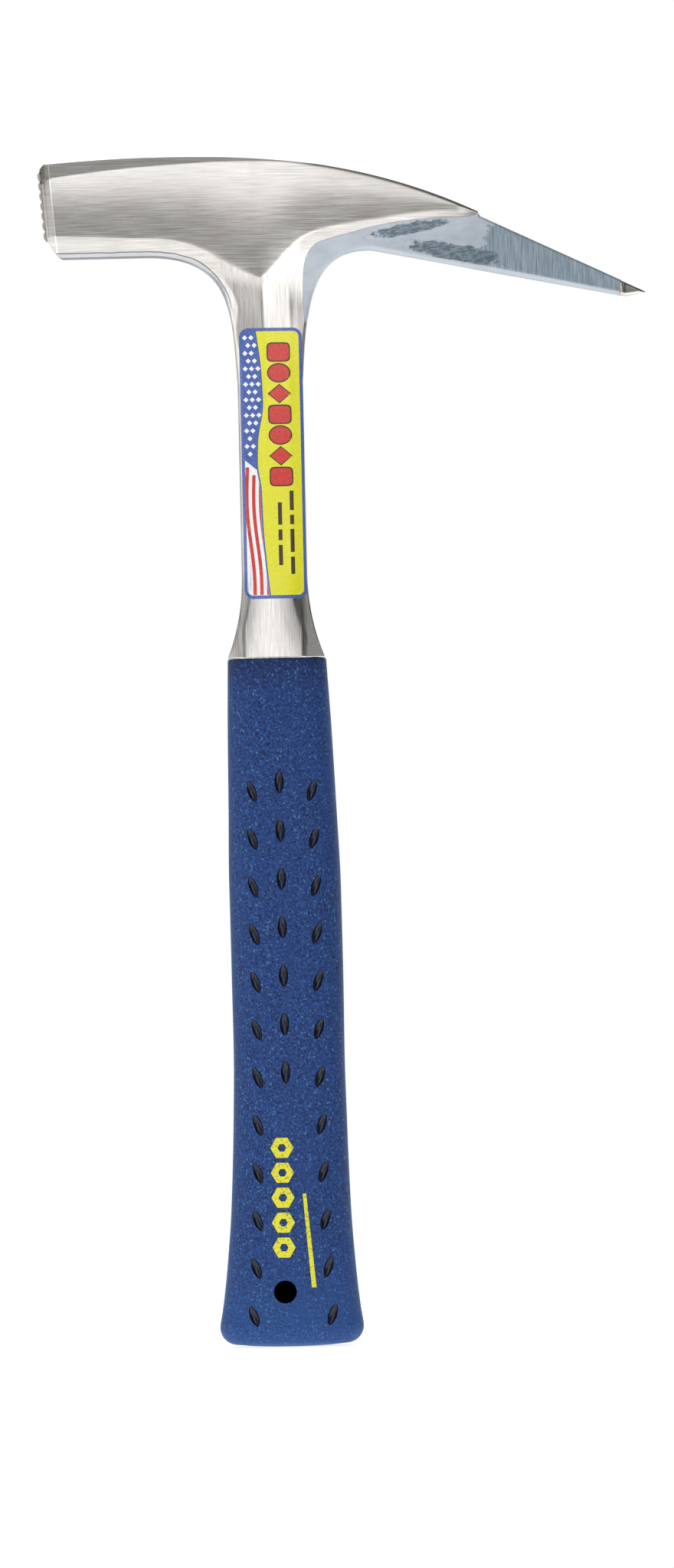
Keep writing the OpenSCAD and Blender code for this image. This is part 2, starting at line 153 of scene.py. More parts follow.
@dataclass(frozen=True)
class ForgingShape:
    """Outline and thickness of the forging, all in millimetres.

    The forging is symmetric about y = 0, as its dies close along Y, so its whole shape is an
    outline in the X-Z plane and a half thickness at each point inside it.
    """

    height: float = 330.5
    face_reach: float = 62.5
    pick_reach: float = 104.5
    poll_height: float = 27.5
    poll_width: float = 24.4
    taper_width: float = 14.0
    arch_drop: float = 17.0
    tip_drop: float = 40.0
    bare_tip: float = 6.5
    shank_width: float = 18.2
    shank_thick: float = 10.6
    collar_width: float = 27.0
    collar_depth: float = 20.6
    grip_length: float = 191.0
    ridge_x: float = -1.7
    tooth_pitch: float = 2.75
    tooth_depth: float = 0.65
    face_slope: float = 0.08
    cheek_crown: float = 0.075
    ridge_fall: float = 0.24
    chamfer: float = 3.3
    poll_run: float = 25.0

    @property
    def half_shank(self) -> float:
        """Half width of the shank."""
        return self.shank_width / 2

    @property
    def neck_z(self) -> float:
        """Height where the neck starts to swell."""
        return self.height - 63.5

    @property
    def flare_z(self) -> float:
        """Height where the collar starts to flare."""
        return self.grip_length + 24.0

    @property
    def step_x(self) -> float:
        """End of the polished cheek."""
        return 0.56 * self.pick_reach

    @property
    def under_x(self) -> float:
        """Where the right fillet meets the underside of the pick."""
        return self.half_shank + 20.0

    @property
    def under_z(self) -> float:
        """Height of the pick's underside where the right fillet meets it."""
        return self.height - 26.8

    @property
    def heel_z(self) -> float:
        """Height of the pick's lowest point."""
        return self.height - self.tip_drop - 1.2

    @property
    def tip_z(self) -> float:
        """Height of the underside at the very tip."""
        return self.height - self.tip_drop - 0.25

    @property
    def heel_x(self) -> float:
        """Lowest point of the pick, behind its tip."""
        return self.pick_reach - 5.5

    @property
    def face_mid(self) -> float:
        """Height of the striking face's middle."""
        return self.height - 13.0

    @property
    def left_fillet(self) -> list[tuple[float, float]]:
        """Bezier curve from the shank's left side up to the poll's underside."""
        h, w = self.height, self.half_shank
        foot = (-w - self.poll_run, h - self.poll_height)
        return [(-w, self.neck_z), (-w - 1.2, h - 43.5), (-w - 0.4, h - 27.5), foot]

    @property
    def right_fillet(self) -> list[tuple[float, float]]:
        """Bezier curve from the shank's right side up to the pick's underside."""
        h, w = self.height, self.half_shank
        return [(w, self.neck_z), (w + 1.3, h - 43.5), (w + 2.2, h - 25.5), (self.under_x, self.under_z)]

    def top_z(self, x: Array) -> Array:
        """Height of the top outline at x."""
        crown_x = -30.0
        back = self.height - 0.0014 * (x - crown_x) ** 2
        reach = np.clip((x - crown_x) / (self.step_x - crown_x), 0, 1)
        front = self.height - self.arch_drop * reach**2.5
        along = (x - self.step_x) / (self.pick_reach - self.step_x)
        taper = mix(self.height - self.arch_drop - 1.2, self.height - self.tip_drop, along)
        head = np.where(x < crown_x, back, front)
        corner = self.height - 1.2 + 1.15 * (x + self.face_reach - 2.0)
        return smooth_min(np.where(x < self.step_x, head, taper), corner, 0.5)

    def poll_under(self, x: Array) -> Array:
        """Height of the poll's underside at x, with its cut corner."""
        return self.height - self.poll_height + 7.0 * np.clip((5 - x - self.face_reach) / 5, 0, 1) ** 1.6

    def pick_under(self, x: Array) -> Array:
        """Height of the pick's underside at x."""
        run = mix(self.under_z, self.heel_z, (x - self.under_x) / (self.heel_x - self.under_x))
        lift = mix(self.heel_z, self.tip_z, (x - self.heel_x) / (self.pick_reach - self.heel_x))
        return np.where(x < self.heel_x, run, lift)

    def side(self, z: Array) -> Array:
        """Half width of the shank and collar at height z."""
        rise = np.clip((self.flare_z - z) / (self.flare_z - self.grip_length), 0, 1)
        return self.half_shank + (self.collar_width / 2 - self.half_shank) * rise**2.2

    def left_line(self) -> Array:
        """Lower left outline, from the striking face to the grip."""
        zs = spread(self.flare_z, self.grip_length, 2.0)
        return np.vstack([
            [[-self.face_reach, self.height - self.poll_height]],
            bezier(self.left_fillet, np.linspace(1, 0, 40)),
            np.column_stack([-self.side(zs), zs]),
        ])

    def right_line(self) -> Array:
        """Lower right outline, from the pick's heel to the grip."""
        zs = spread(self.flare_z, self.grip_length, 2.0)
        return np.vstack([
            [[self.pick_reach, self.tip_z], [self.heel_x, self.heel_z]],
            bezier(self.right_fillet, np.linspace(1, 0, 40)),
            np.column_stack([self.side(zs), zs]),
        ])

    def cheek_border(self, x: Array) -> Array:
        """Height of the polished cheek's lower border at x."""
        keys = [
            (-self.face_reach, 21.4), (-34, 22.9), (-27, 23.8), (-19.5, 25.4), (-10.6, 30.1), (-4.6, 33.0),
            (-2, 33.8), (-0.2, 33.0), (2.7, 30.2), (6, 26.7), (10.2, 23.2), (15.5, 21.1), (28, 18.9),
            (0.48 * self.pick_reach, 16.5), (self.step_x, 16.6),
        ]
        return self.height - curve(x, keys)

    def cheek(self, x: Array) -> Array:
        """Half thickness across the cheeks at x, with the two bevels of the striking face."""
        fall = (self.poll_width - self.taper_width - 1) / 2
        back = np.clip((x + 5) / (self.step_x + 5), 0, 1) ** 1.2
        edge = x + self.face_reach
        return (self.poll_width / 2 - fall * back
                - 0.16 * np.maximum(0, self.chamfer - edge) - 0.85 * np.maximum(0, 1.3 - edge))

    def taper(self, x: Array) -> Array:
        """Half thickness of the pick beyond the polished cheek."""
        tip = self.pick_reach - self.bare_tip
        back = mix(self.taper_width / 2, 1.8, np.clip((x - self.step_x) / (tip - self.step_x), 0, 1))
        return mix(back, 0.15, np.clip((x - tip) / self.bare_tip, 0, 1))

    def crown_bevel(self, x: Array) -> Array:
        """Height of the bevel between cheek and top."""
        return 0.5 + 3.4 * np.clip((5 - x) / 66, 0, 1)

    def crease(self, t: Array) -> Array:
        """Border of the paint from the neck up to the step, at share t of its run, as rows of (x, z)."""
        h, w = self.height, self.half_shank
        keys = [
            (w + 0.9, h - 47.0), (w + 0.5, h - 42), (w + 0.5, h - 38), (w + 0.7, h - 33), (w + 1.5, h - 28.9),
            (w + 4.6, h - 24.9), (w + 8.1, h - 23.7), (w + 13.4, h - 22.4), (self.under_x, h - 20.7),
            (0.35 * self.pick_reach, h - 19.4), (0.44 * self.pick_reach, h - 18.6),
            (0.53 * self.pick_reach, h - 18.4), (self.step_x + 0.3, h - 17.7),
        ]
        run = np.concatenate([[0], np.cumsum(np.hypot(*np.diff(np.array(keys), axis=0).T))])
        run /= run[-1]
        return np.column_stack([curve(t, [(r, k[i]) for r, k in zip(run, keys)]) for i in (0, 1)])

    def half_thick(self, x: Array, z: Array) -> Array:
        """Half thickness of the forging at each point of its outline.

        Args:
            x: Places along the head.
            z: Heights.

        Returns:
            Distance of the surface from y = 0.
        """
        shape = np.broadcast(x, z).shape
        x, z = np.broadcast_to(x, shape).ravel(), np.broadcast_to(z, shape).ravel()
        points = np.column_stack([x, z])
        left, right = distance_to(points, self.left_line()), distance_to(points, self.right_line())
        top = np.maximum(self.top_z(x) - z, 0.0)
        cheek = self.cheek(x)
        border = self.cheek_border(x)
        reach = np.maximum((self.top_z(x) - border) / 2, 1.0)
        crowned = cheek - self.cheek_crown * reach * np.clip((z - border) / reach - 1, -1, 1) ** 2
        below = smooth_min(np.zeros_like(z), z - border, 0.5)
        off = x - self.ridge_x
        neck = ease((z - self.flare_z - 10) / 30)
        side = np.minimum(np.sqrt(off**2 + 0.06), self.half_shank + 2)
        ridge = (self.shank_thick / 2 - mix(0.05, self.ridge_fall, neck) * side
                 - mix(0.013, 0.0, neck) * side**2)
        body = mix(ridge, crowned, np.exp(below / 10.0))
        root = curve(z - self.height, [
            (-70, 0.25 * self.shank_thick), (-60, 0.25 * self.shank_thick), (-48.5, 0.36 * self.shank_thick),
            (-42.5, 3.6), (-38.5, 4.3), (-34.5, 5.7), (-27, 8.0)])
        strip_left = root + curve(z - self.height, [(-70, 0.9), (-34, 0.9), (-27, 0.68), (0, 0.68)]) * left
        far = np.clip((x - self.under_x) / (self.step_x - self.under_x), 0, 1) ** 0.5
        foot = mix(0.6 * root, self.taper_width * 0.4, ease((x - self.half_shank) / 20))
        strip_right = foot + mix(0.68, 0.1, far) * right
        roll = 0.3 + 1.6 * ease((x - 4) / 3) * ease((310 - z) / 12) * neck
        body = smooth_min(smooth_min(body, strip_left, 0.3), strip_right, roll)
        body = smooth_min(body, cheek - self.cheek_crown * reach - self.crown_bevel(x) + top, 0.35)
        share = np.clip((self.flare_z - z) / (self.flare_z - self.grip_length), 0, 1) ** 1.5
        front = self.collar_depth / 2 - 0.007 * off**2
        half_collar = self.collar_width / 2
        flank = np.minimum(3.6 + 1.5 * (half_collar + x), 4.0 + 1.05 * (half_collar - x))
        body = mix(body, smooth_min(front, np.maximum(flank, 0.5), 1.0), share)
        taper = self.taper(x)
        bare = np.clip((x - self.pick_reach + self.bare_tip) / 0.8, 0, 1)
        flat = taper - 0.24 * bare * np.maximum(right - 0.8, 0)
        tip = smooth_min(smooth_min(flat, taper * 0.8 + 0.75 * right, 0.25), taper - 0.35 + top, 0.2)
        half = mix(body, tip, ease((x - self.step_x + 6) / 9))
        for near, radius in ((np.minimum(left, right), 0.9), (top, 0.35)):
            reach = np.minimum(radius, 0.45 * half)
            rest = np.clip(1 - near / np.maximum(reach, 1e-6), 0, 1)
            half = half - reach * (1 - np.sqrt(np.maximum(1 - rest * rest, 0))) * (1 - share)
        return np.maximum(half, 0.08).reshape(shape)

    def lean(self, x: Array, z: Array) -> Array:
        """x of a point after the striking face is leant back at its foot."""
        return x - self.face_slope * (z - self.face_mid) * np.clip((14 - x - self.face_reach) / 14, 0, 1)


# ------------------------------------------------------------------ meshes


def new_piece(name: str, verts: Array, faces: Iterable[Sequence[int]]) -> Piece:
    """Makes an object from points in millimetres.

    Args:
        name: Name of the piece.
        verts: Points in millimetres, three columns.
        faces: Corner numbers of each face.

    Returns:
        The new object, smooth shaded, at the origin.
    """
    mesh = bpy.data.meshes.new(name)
    mesh.from_pydata((np.asarray(verts) * MM).tolist(), [], [list(map(int, f)) for f in faces])
    mesh.update()
    mesh.shade_smooth()
    piece = bpy.data.objects.new(name, mesh)
    bpy.context.scene.collection.objects.link(piece)
    return piece


def grid_faces(rows: int, cols: int, start: int = 0) -> list[tuple[int, int, int, int]]:
    """Quads of a grid of points stored row by row."""
    corners = [start + r * cols + c for r in range(rows - 1) for c in range(cols - 1)]
    return [(k, k + 1, k + cols + 1, k + cols) for k in corners]


def face_outwards(piece: Piece) -> None:
    """Turns every face of a closed piece outwards."""
    work = bmesh.new()
    work.from_mesh(piece.data)
    bmesh.ops.recalc_face_normals(work, faces=work.faces)
    work.to_mesh(piece.data)
    work.free()


def paint_points(piece: Piece, name: str, values: Array) -> None:
    """Stores one number at each point of a piece, for its material to read."""
    layer = piece.data.attributes.new(name, "FLOAT", "POINT")
    layer.data.foreach_set("value", np.asarray(values, dtype=np.float32))


def edge_fine(count: int) -> Array:
    """Shares from 0 to 1 that crowd towards both ends, for a rounded edge."""
    close = np.array([0.0, 0.003, 0.009, 0.018, 0.03])
    return np.concatenate([close, np.linspace(0.045, 0.955, count), 1 - close[::-1]])


class SheetMesh:
    """Fine mesh of the forging: a front sheet, its mirror image and the wall between their rims."""

    def __init__(self, shape: ForgingShape, step: float = 0.46) -> None:
        """Lays out the points of the front sheet.

        Args:
            shape: The forging's shape.
            step: Distance between points, in millimetres.
        """
        self.shape = shape
        s = shape
        join = 0.6
        first = -s.face_reach + s.tooth_depth
        across = edge_fine(int(27 / step))
        left_end, right_end = bezier(s.left_fillet, join)[0], bezier(s.right_fillet, join)[0]
        ts = np.linspace(1, join + 0.012, int(25 / step))
        poll_x = spread(first, -s.half_shank - s.poll_run - step, step)
        pick_x = spread(s.under_x + step, s.step_x - 0.02, step)
        taper_x = spread(s.step_x + 0.25, s.heel_x, step)
        tip_x = spread(s.heel_x + 0.3, s.pick_reach, 0.3)
        stations = np.vstack([
            np.column_stack([poll_x, s.poll_under(poll_x)]),
            bezier(s.left_fillet, ts),
            mix(left_end, right_end, across[:, None]),
            bezier(s.right_fillet, ts[::-1]),
            np.column_stack([np.concatenate([pick_x, taper_x, tip_x]),
                             s.pick_under(np.concatenate([pick_x, taper_x, tip_x]))]),
        ])
        self.first_col = len(poll_x) + len(ts)
        self.across = across
        up = edge_fine(int(25 / step))
        low, high = stations[:, 1], s.top_z(stations[:, 0])
        self.head = np.stack([
            np.repeat(stations[:, :1], len(up), axis=1),
            mix(low[:, None], high[:, None], up[None, :]),
        ], axis=2)
        neck_ts = np.linspace(join - 0.012, 0, int(30 / step))
        shank_z = np.concatenate([
            spread(s.neck_z, s.flare_z, 0.9)[1:], spread(s.flare_z, s.grip_length, 0.5)[1:]])
        sides = [bezier(s.left_fillet, neck_ts), bezier(s.right_fillet, neck_ts)]
        lefts = np.vstack([sides[0], np.column_stack([-s.side(shank_z), shank_z])])
        rights = np.vstack([sides[1], np.column_stack([s.side(shank_z), shank_z])])
        self.neck = mix(lefts[:, None, :], rights[:, None, :], across[None, :, None])

    def index(self) -> tuple[Array, Array]:
        """Point numbers of the head's grid and of the neck's grid, whose first row is the head's."""
        n, m = self.head.shape[:2]
        head = np.arange(n * m).reshape(n, m)
        rows, cols = self.neck.shape[:2]
        neck = n * m + np.arange(rows * cols).reshape(rows, cols)
        return head, np.vstack([head[self.first_col:self.first_col + cols, 0][None, :], neck])

    def build(self) -> tuple[Array, list[tuple[int, ...]], Array]:
        """Builds the closed mesh.

        Returns:
            Points in millimetres, faces, and the outline points (x, z) of all the points.
        """
        head, neck = self.index()
        flat = np.vstack([self.head.reshape(-1, 2), self.neck.reshape(-1, 2)])
        half = self.shape.half_thick(flat[:, 0], flat[:, 1])
        x = self.shape.lean(flat[:, 0], flat[:, 1])
        front = np.column_stack([x, -half, flat[:, 1]])
        count = len(front)
        verts = np.vstack([front, front * [1, -1, 1]])
        faces = []
        for grid in (head, neck):
            a, b, c, d = grid[:-1, :-1], grid[:-1, 1:], grid[1:, 1:], grid[1:, :-1]
            flip = grid is neck
            quads = np.stack([a, d, c, b] if not flip else [a, b, c, d], axis=-1).reshape(-1, 4)
            quads = quads[:, ::-1] if flip else quads
            faces += quads.tolist() + (quads[:, ::-1] + count).tolist()
        rim = np.concatenate([
            head[:self.first_col, 0], neck[:, 0], neck[-1, 1:], neck[-2:0:-1, -1],
            head[self.first_col + len(self.across) - 1:, 0], head[-1, 1:], head[-2::-1, -1],
            head[0, -2:0:-1]])
        faces += [(a, b, b + count, a + count) for a, b in zip(rim, np.roll(rim, -1))]
        return verts, faces, np.vstack([flat, flat])


# ------------------------------------------------------------------ node trees


def colour(code: str) -> tuple[float, float, float, float]:
    """Turns an sRGB hex colour such as "#2e467a" into linear red, green, blue and alpha."""
    parts = [int(code[i:i + 2], 16) / 255 for i in (1, 3, 5)]
    return (*[p / 12.92 if p <= 0.04045 else ((p + 0.055) / 1.055) ** 2.4 for p in parts], 1.0)


class NodeTree:
    """A node tree with short ways to add nodes to it."""

    def __init__(self, tree: bpy.types.NodeTree) -> None:
        """Empties the tree that is built in."""
        self.tree = tree
        tree.nodes.clear()

    def add(self, kind: str, inputs: dict[str | int, object] | None = None, **settings: object) -> Node:
        """Adds a node.

        Args:
            kind: Node type, such as "ShaderNodeMath".
            inputs: What fills the node's inputs, as in fill. A map range takes a value at 0, the
                range it comes from at 1 and 2, and the range it goes to at 3 and 4.
            **settings: Attributes of the node itself.

        Returns:
            The new node.
        """
        node = self.tree.nodes.new(kind)
        for key, value in settings.items():
            setattr(node, key, value)
        self.fill(node, inputs or {})
        return node

    def fill(self, node: Node, inputs: dict[str | int, object]) -> None:
        """Fills a node's inputs.

        Args:
            node: Node to fill.
            inputs: Plain values, hex colours, sockets, or nodes, which give their first output in use.
        """
        for key, value in inputs.items():
            if isinstance(value, Node):
                value = next(out for out in value.outputs if out.enabled)
            if isinstance(value, Socket):
                self.tree.links.new(value, node.inputs[key])
            elif isinstance(value, str) and value.startswith("#"):
                node.inputs[key].default_value = colour(value)
            else:
                node.inputs[key].default_value = value


# ------------------------------------------------------------------ materials


class Surface(NodeTree):
    """Base of every finish: a material with its Principled shader and helpers for its patterns."""

    name = "surface"

    def __init__(self) -> None:
        """Starts a material with nothing but its shader."""
        self.material = bpy.data.materials.new(self.name)
        self.material.use_nodes = True
        super().__init__(self.material.node_tree)
        self.shader = self.add("ShaderNodeBsdfPrincipled")
        self.add("ShaderNodeOutputMaterial", {"Surface": self.shader.outputs[0]})
        self.place = self.add("ShaderNodeTexCoord").outputs["Object"]

    def set(self, **values: object) -> None:
        """Sets or joins the shader's inputs, with _ for a space in an input's name."""
        self.fill(self.shader, {key.replace("_", " "): value for key, value in values.items()})

    def grain(self, *size: float, detail: float = 2.0, rough: float = 0.5) -> Socket:
        """Noise from 0 to 1.

        Args:
            *size: Size of its features in millimetres, along x, y and z or one for all.
            detail: How many finer layers it has.
            rough: Strength of the finer layers.

        Returns:
            The noise.
        """
        scale = [1.0 / (s * MM) for s in (size if len(size) == 3 else size * 3)]
        stretched = self.add("ShaderNodeMapping", {"Vector": self.place, "Scale": scale}).outputs[0]
        return self.add("ShaderNodeTexNoise", {
            "Vector": stretched, "Scale": 1.0, "Detail": detail, "Roughness": rough}).outputs[0]

    def line(self, value: Wire, middle: float, half: float) -> Wire:
        """1 where value is at middle, falling to 0 at half away from it."""
        away = self.add("ShaderNodeMath", {
            0: self.add("ShaderNodeMath", {0: value, 1: middle}, operation="SUBTRACT"),
        }, operation="ABSOLUTE")
        return self.add("ShaderNodeMapRange", {0: away, 1: half, 2: 0.35 * half})

    def patch(self, spot: tuple[float, float], half: tuple[float, float], lean: float,
              ragged: Wire) -> Wire:
        """Oval patch in the X-Z plane with a ragged edge.

        Args:
            spot: x and z of its middle, in millimetres.
            half: Half length and half height.
            lean: Turn in degrees, positive where its right end rises.
            ragged: Noise from 0 to 1 that moves its edge.

        Returns:
            1 inside and 0 outside.
        """
        flat = self.add("ShaderNodeVectorMath", {0: self.place, 1: (1000, 0, 1000)}, operation="MULTIPLY")
        node = self.add("ShaderNodeMapping", {
            "Vector": flat.outputs[0], "Location": (spot[0], 0, spot[1]),
            "Rotation": (0, -math.radians(lean), 0), "Scale": (half[0], 1, half[1])}, vector_type="TEXTURE")
        reach = self.add("ShaderNodeVectorMath", {0: node.outputs[0]}, operation="LENGTH").outputs["Value"]
        return self.add("ShaderNodeMapRange", {
            0: self.add("ShaderNodeMath", {
                0: reach,
                1: self.add("ShaderNodeMapRange", {0: ragged, 1: 0.3, 2: 0.7, 3: -0.35, 4: 0.35}),
            }, operation="ADD"),
            1: 1.08, 2: 0.92,
        })


class GroundSteel(Surface):
    """Tool steel, ground on a belt and polished.

    The belt leaves fine lines along the head on the cheeks and down the shank on the neck. They
    spread the highlights across the grain. A white line at the striking face's chamfer and along
    the top outline over the poll is a painted highlight. A dark line along the pick's top edge is
    painted shade, standing for a dark reflection on its rounded edge, and a thin dark line runs
    along the lower left outline on the poll's underside, beside a bluish tint that is a painted
    reflection.
    """

    name = "ground polished tool steel"

    def __init__(self, chamfer_x: float, slope: float, middle: float) -> None:
        """Builds the finish.

        The mesh stores shank, from 0 on the head to 1 on the shank, and two distances in
        millimetres: foot, from the lower left outline, and rim, from the top outline.

        Args:
            chamfer_x: Place of the striking face's chamfer, at its middle, in millimetres.
            slope: Lean of the chamfer.
            middle: Height of its middle.
        """
        super().__init__()
        sway = self.grain(6)
        waver = self.add("ShaderNodeMapRange", {0: sway, 1: 0.2, 2: 0.8, 3: -0.12, 4: 0.12})
        shank = self.add("ShaderNodeMapRange", {
            0: self.add("ShaderNodeMath", {
                0: self.add("ShaderNodeAttribute", attribute_name="shank").outputs["Fac"], 1: waver,
            }, operation="ADD"),
            1: 0.35, 2: 0.65,
        })
        along_head = self.grain(11.0, 3.0, 0.3, detail=3.0, rough=0.65)
        along_shank = self.grain(0.3, 3.0, 11.0, detail=3.0, rough=0.65)
        lines = self.add("ShaderNodeMix", {"Factor": shank, "A": along_head, "B": along_shank}).outputs[0]
        cloud = self.grain(9, 9, 6, detail=3.0)
        tint = self.add("ShaderNodeMix", {
            "Factor": self.add("ShaderNodeMapRange", {0: lines, 1: 0.28, 2: 0.72}), 6: "#b9b4af",
            7: "#eceae7",
        }, data_type="RGBA")
        tint = self.add("ShaderNodeMix", {
            "Factor": self.add("ShaderNodeMapRange", {0: cloud, 1: 0.35, 2: 0.75, 3: 0.0, 4: 0.25}),
            6: tint, 7: "#bdb8b2",
        }, data_type="RGBA")
        x = self.add("ShaderNodeSeparateXYZ", {0: self.place}).outputs["X"]
        z = self.add("ShaderNodeSeparateXYZ", {0: self.place}).outputs["Z"]
        chamfer = self.add("ShaderNodeMath", {
            0: x,
            1: self.add("ShaderNodeMath", {
                0: self.add("ShaderNodeMath", {0: z, 1: middle * MM}, operation="SUBTRACT"), 1: slope,
            }, operation="MULTIPLY"),
        }, operation="ADD")
        foot = self.add("ShaderNodeAttribute", attribute_name="foot").outputs["Fac"]
        rim = self.add("ShaderNodeAttribute", attribute_name="rim").outputs["Fac"]
        jag = self.add("ShaderNodeMapRange", {0: sway, 1: 0.3, 2: 0.7, 3: -0.12, 4: 0.12})
        high = self.add("ShaderNodeMapRange", {0: z, 1: 0.285, 2: 0.292})
        front = self.add("ShaderNodeMapRange", {0: x, 1: 0.009, 2: 0.014})
        # painted highlight: a white line along the top outline over the poll, away from the pick
        top_edge_highlight = self.add("ShaderNodeMath", {
            0: self.line(rim, 0.15, 0.3),
            1: self.add("ShaderNodeMath", {0: 1.0, 1: front}, operation="SUBTRACT"),
        }, operation="MULTIPLY")
        # painted highlight: the white line at the striking face's chamfer, joined with the top one
        painted_highlight = self.add("ShaderNodeMath", {
            0: self.line(chamfer, chamfer_x * MM, 0.22 * MM), 1: top_edge_highlight,
        }, operation="MAXIMUM")
        # a thin dark line along the lower left outline, on the poll's underside
        foot_dark_line = self.add("ShaderNodeMath", {
            0: self.line(self.add("ShaderNodeMath", {0: foot, 1: jag}, operation="ADD"), 1.25, 0.2),
            1: high,
        }, operation="MULTIPLY")
        # the rim term is painted shade: a dark line along the pick's top edge stands for a dark reflection on
        # its rounded edge
        scale = self.add("ShaderNodeMath", {
            0: foot_dark_line,
            1: self.add("ShaderNodeMath", {
                0: self.line(rim, 0.22, 0.22), 1: front,
            }, operation="MULTIPLY"),
        }, operation="MAXIMUM")
        # painted reflection: a bluish light tint on the poll's underside, within about a millimetre of the
        # lower left outline
        painted_reflection_strip = self.add("ShaderNodeMath", {
            0: self.add("ShaderNodeMapRange", {0: foot, 1: 1.15, 2: 0.95}), 1: high,
        }, operation="MULTIPLY")
        tint = self.add("ShaderNodeMix", {
            "Factor": self.add("ShaderNodeMath", {0: painted_reflection_strip, 1: 0.6}, operation="MULTIPLY"), 6: tint,
            7: "#b4bac6",
        }, data_type="RGBA")
        # the painted highlight lines are mixed in as white
        tint = self.add("ShaderNodeMix", {"Factor": painted_highlight, 6: tint, 7: "#ffffff"}, data_type="RGBA")
        # steel darkened to #3a3430 by the painted shade on the pick's top edge and by the dark foot line
        tint = self.add("ShaderNodeMix", {
            "Factor": self.add("ShaderNodeMath", {0: scale, 1: 0.85}, operation="MULTIPLY"), 6: tint,
            7: "#3a3430",
        }, data_type="RGBA")
        slow = self.add("ShaderNodeBump", {"Height": cloud, "Distance": 0.03 * MM, "Strength": 0.1})
        self.set(
            Metallic=1.0, Base_Color=tint,
            Roughness=self.add("ShaderNodeMapRange", {0: lines, 1: 0.25, 2: 0.75, 3: 0.17, 4: 0.28}),
            Normal=self.add("ShaderNodeBump", {
                "Height": lines, "Distance": 0.012 * MM, "Strength": 0.6, "Normal": slow,
            }))


class MilledSteel(Surface):
    """Steel of the striking face, cut with a milling cutter: darker and duller than the polish."""

    name = "milled tool steel"

    def __init__(self) -> None:
        """Builds the finish."""
        super().__init__()
        grain = self.grain(0.5, detail=3.0)
        self.set(
            Metallic=1.0,
            Base_Color=self.add("ShaderNodeMix", {
                "Factor": self.add("ShaderNodeMapRange", {0: grain, 1: 0.3, 2: 0.7}), 6: "#8d8781",
                7: "#b3aea8",
            }, data_type="RGBA"),
            Roughness=self.add("ShaderNodeMapRange", {0: grain, 1: 0.2, 2: 0.8, 3: 0.34, 4: 0.5}),
            Normal=self.add("ShaderNodeBump", {
                "Height": grain, "Distance": 0.04 * MM, "Strength": 0.5,
            }))


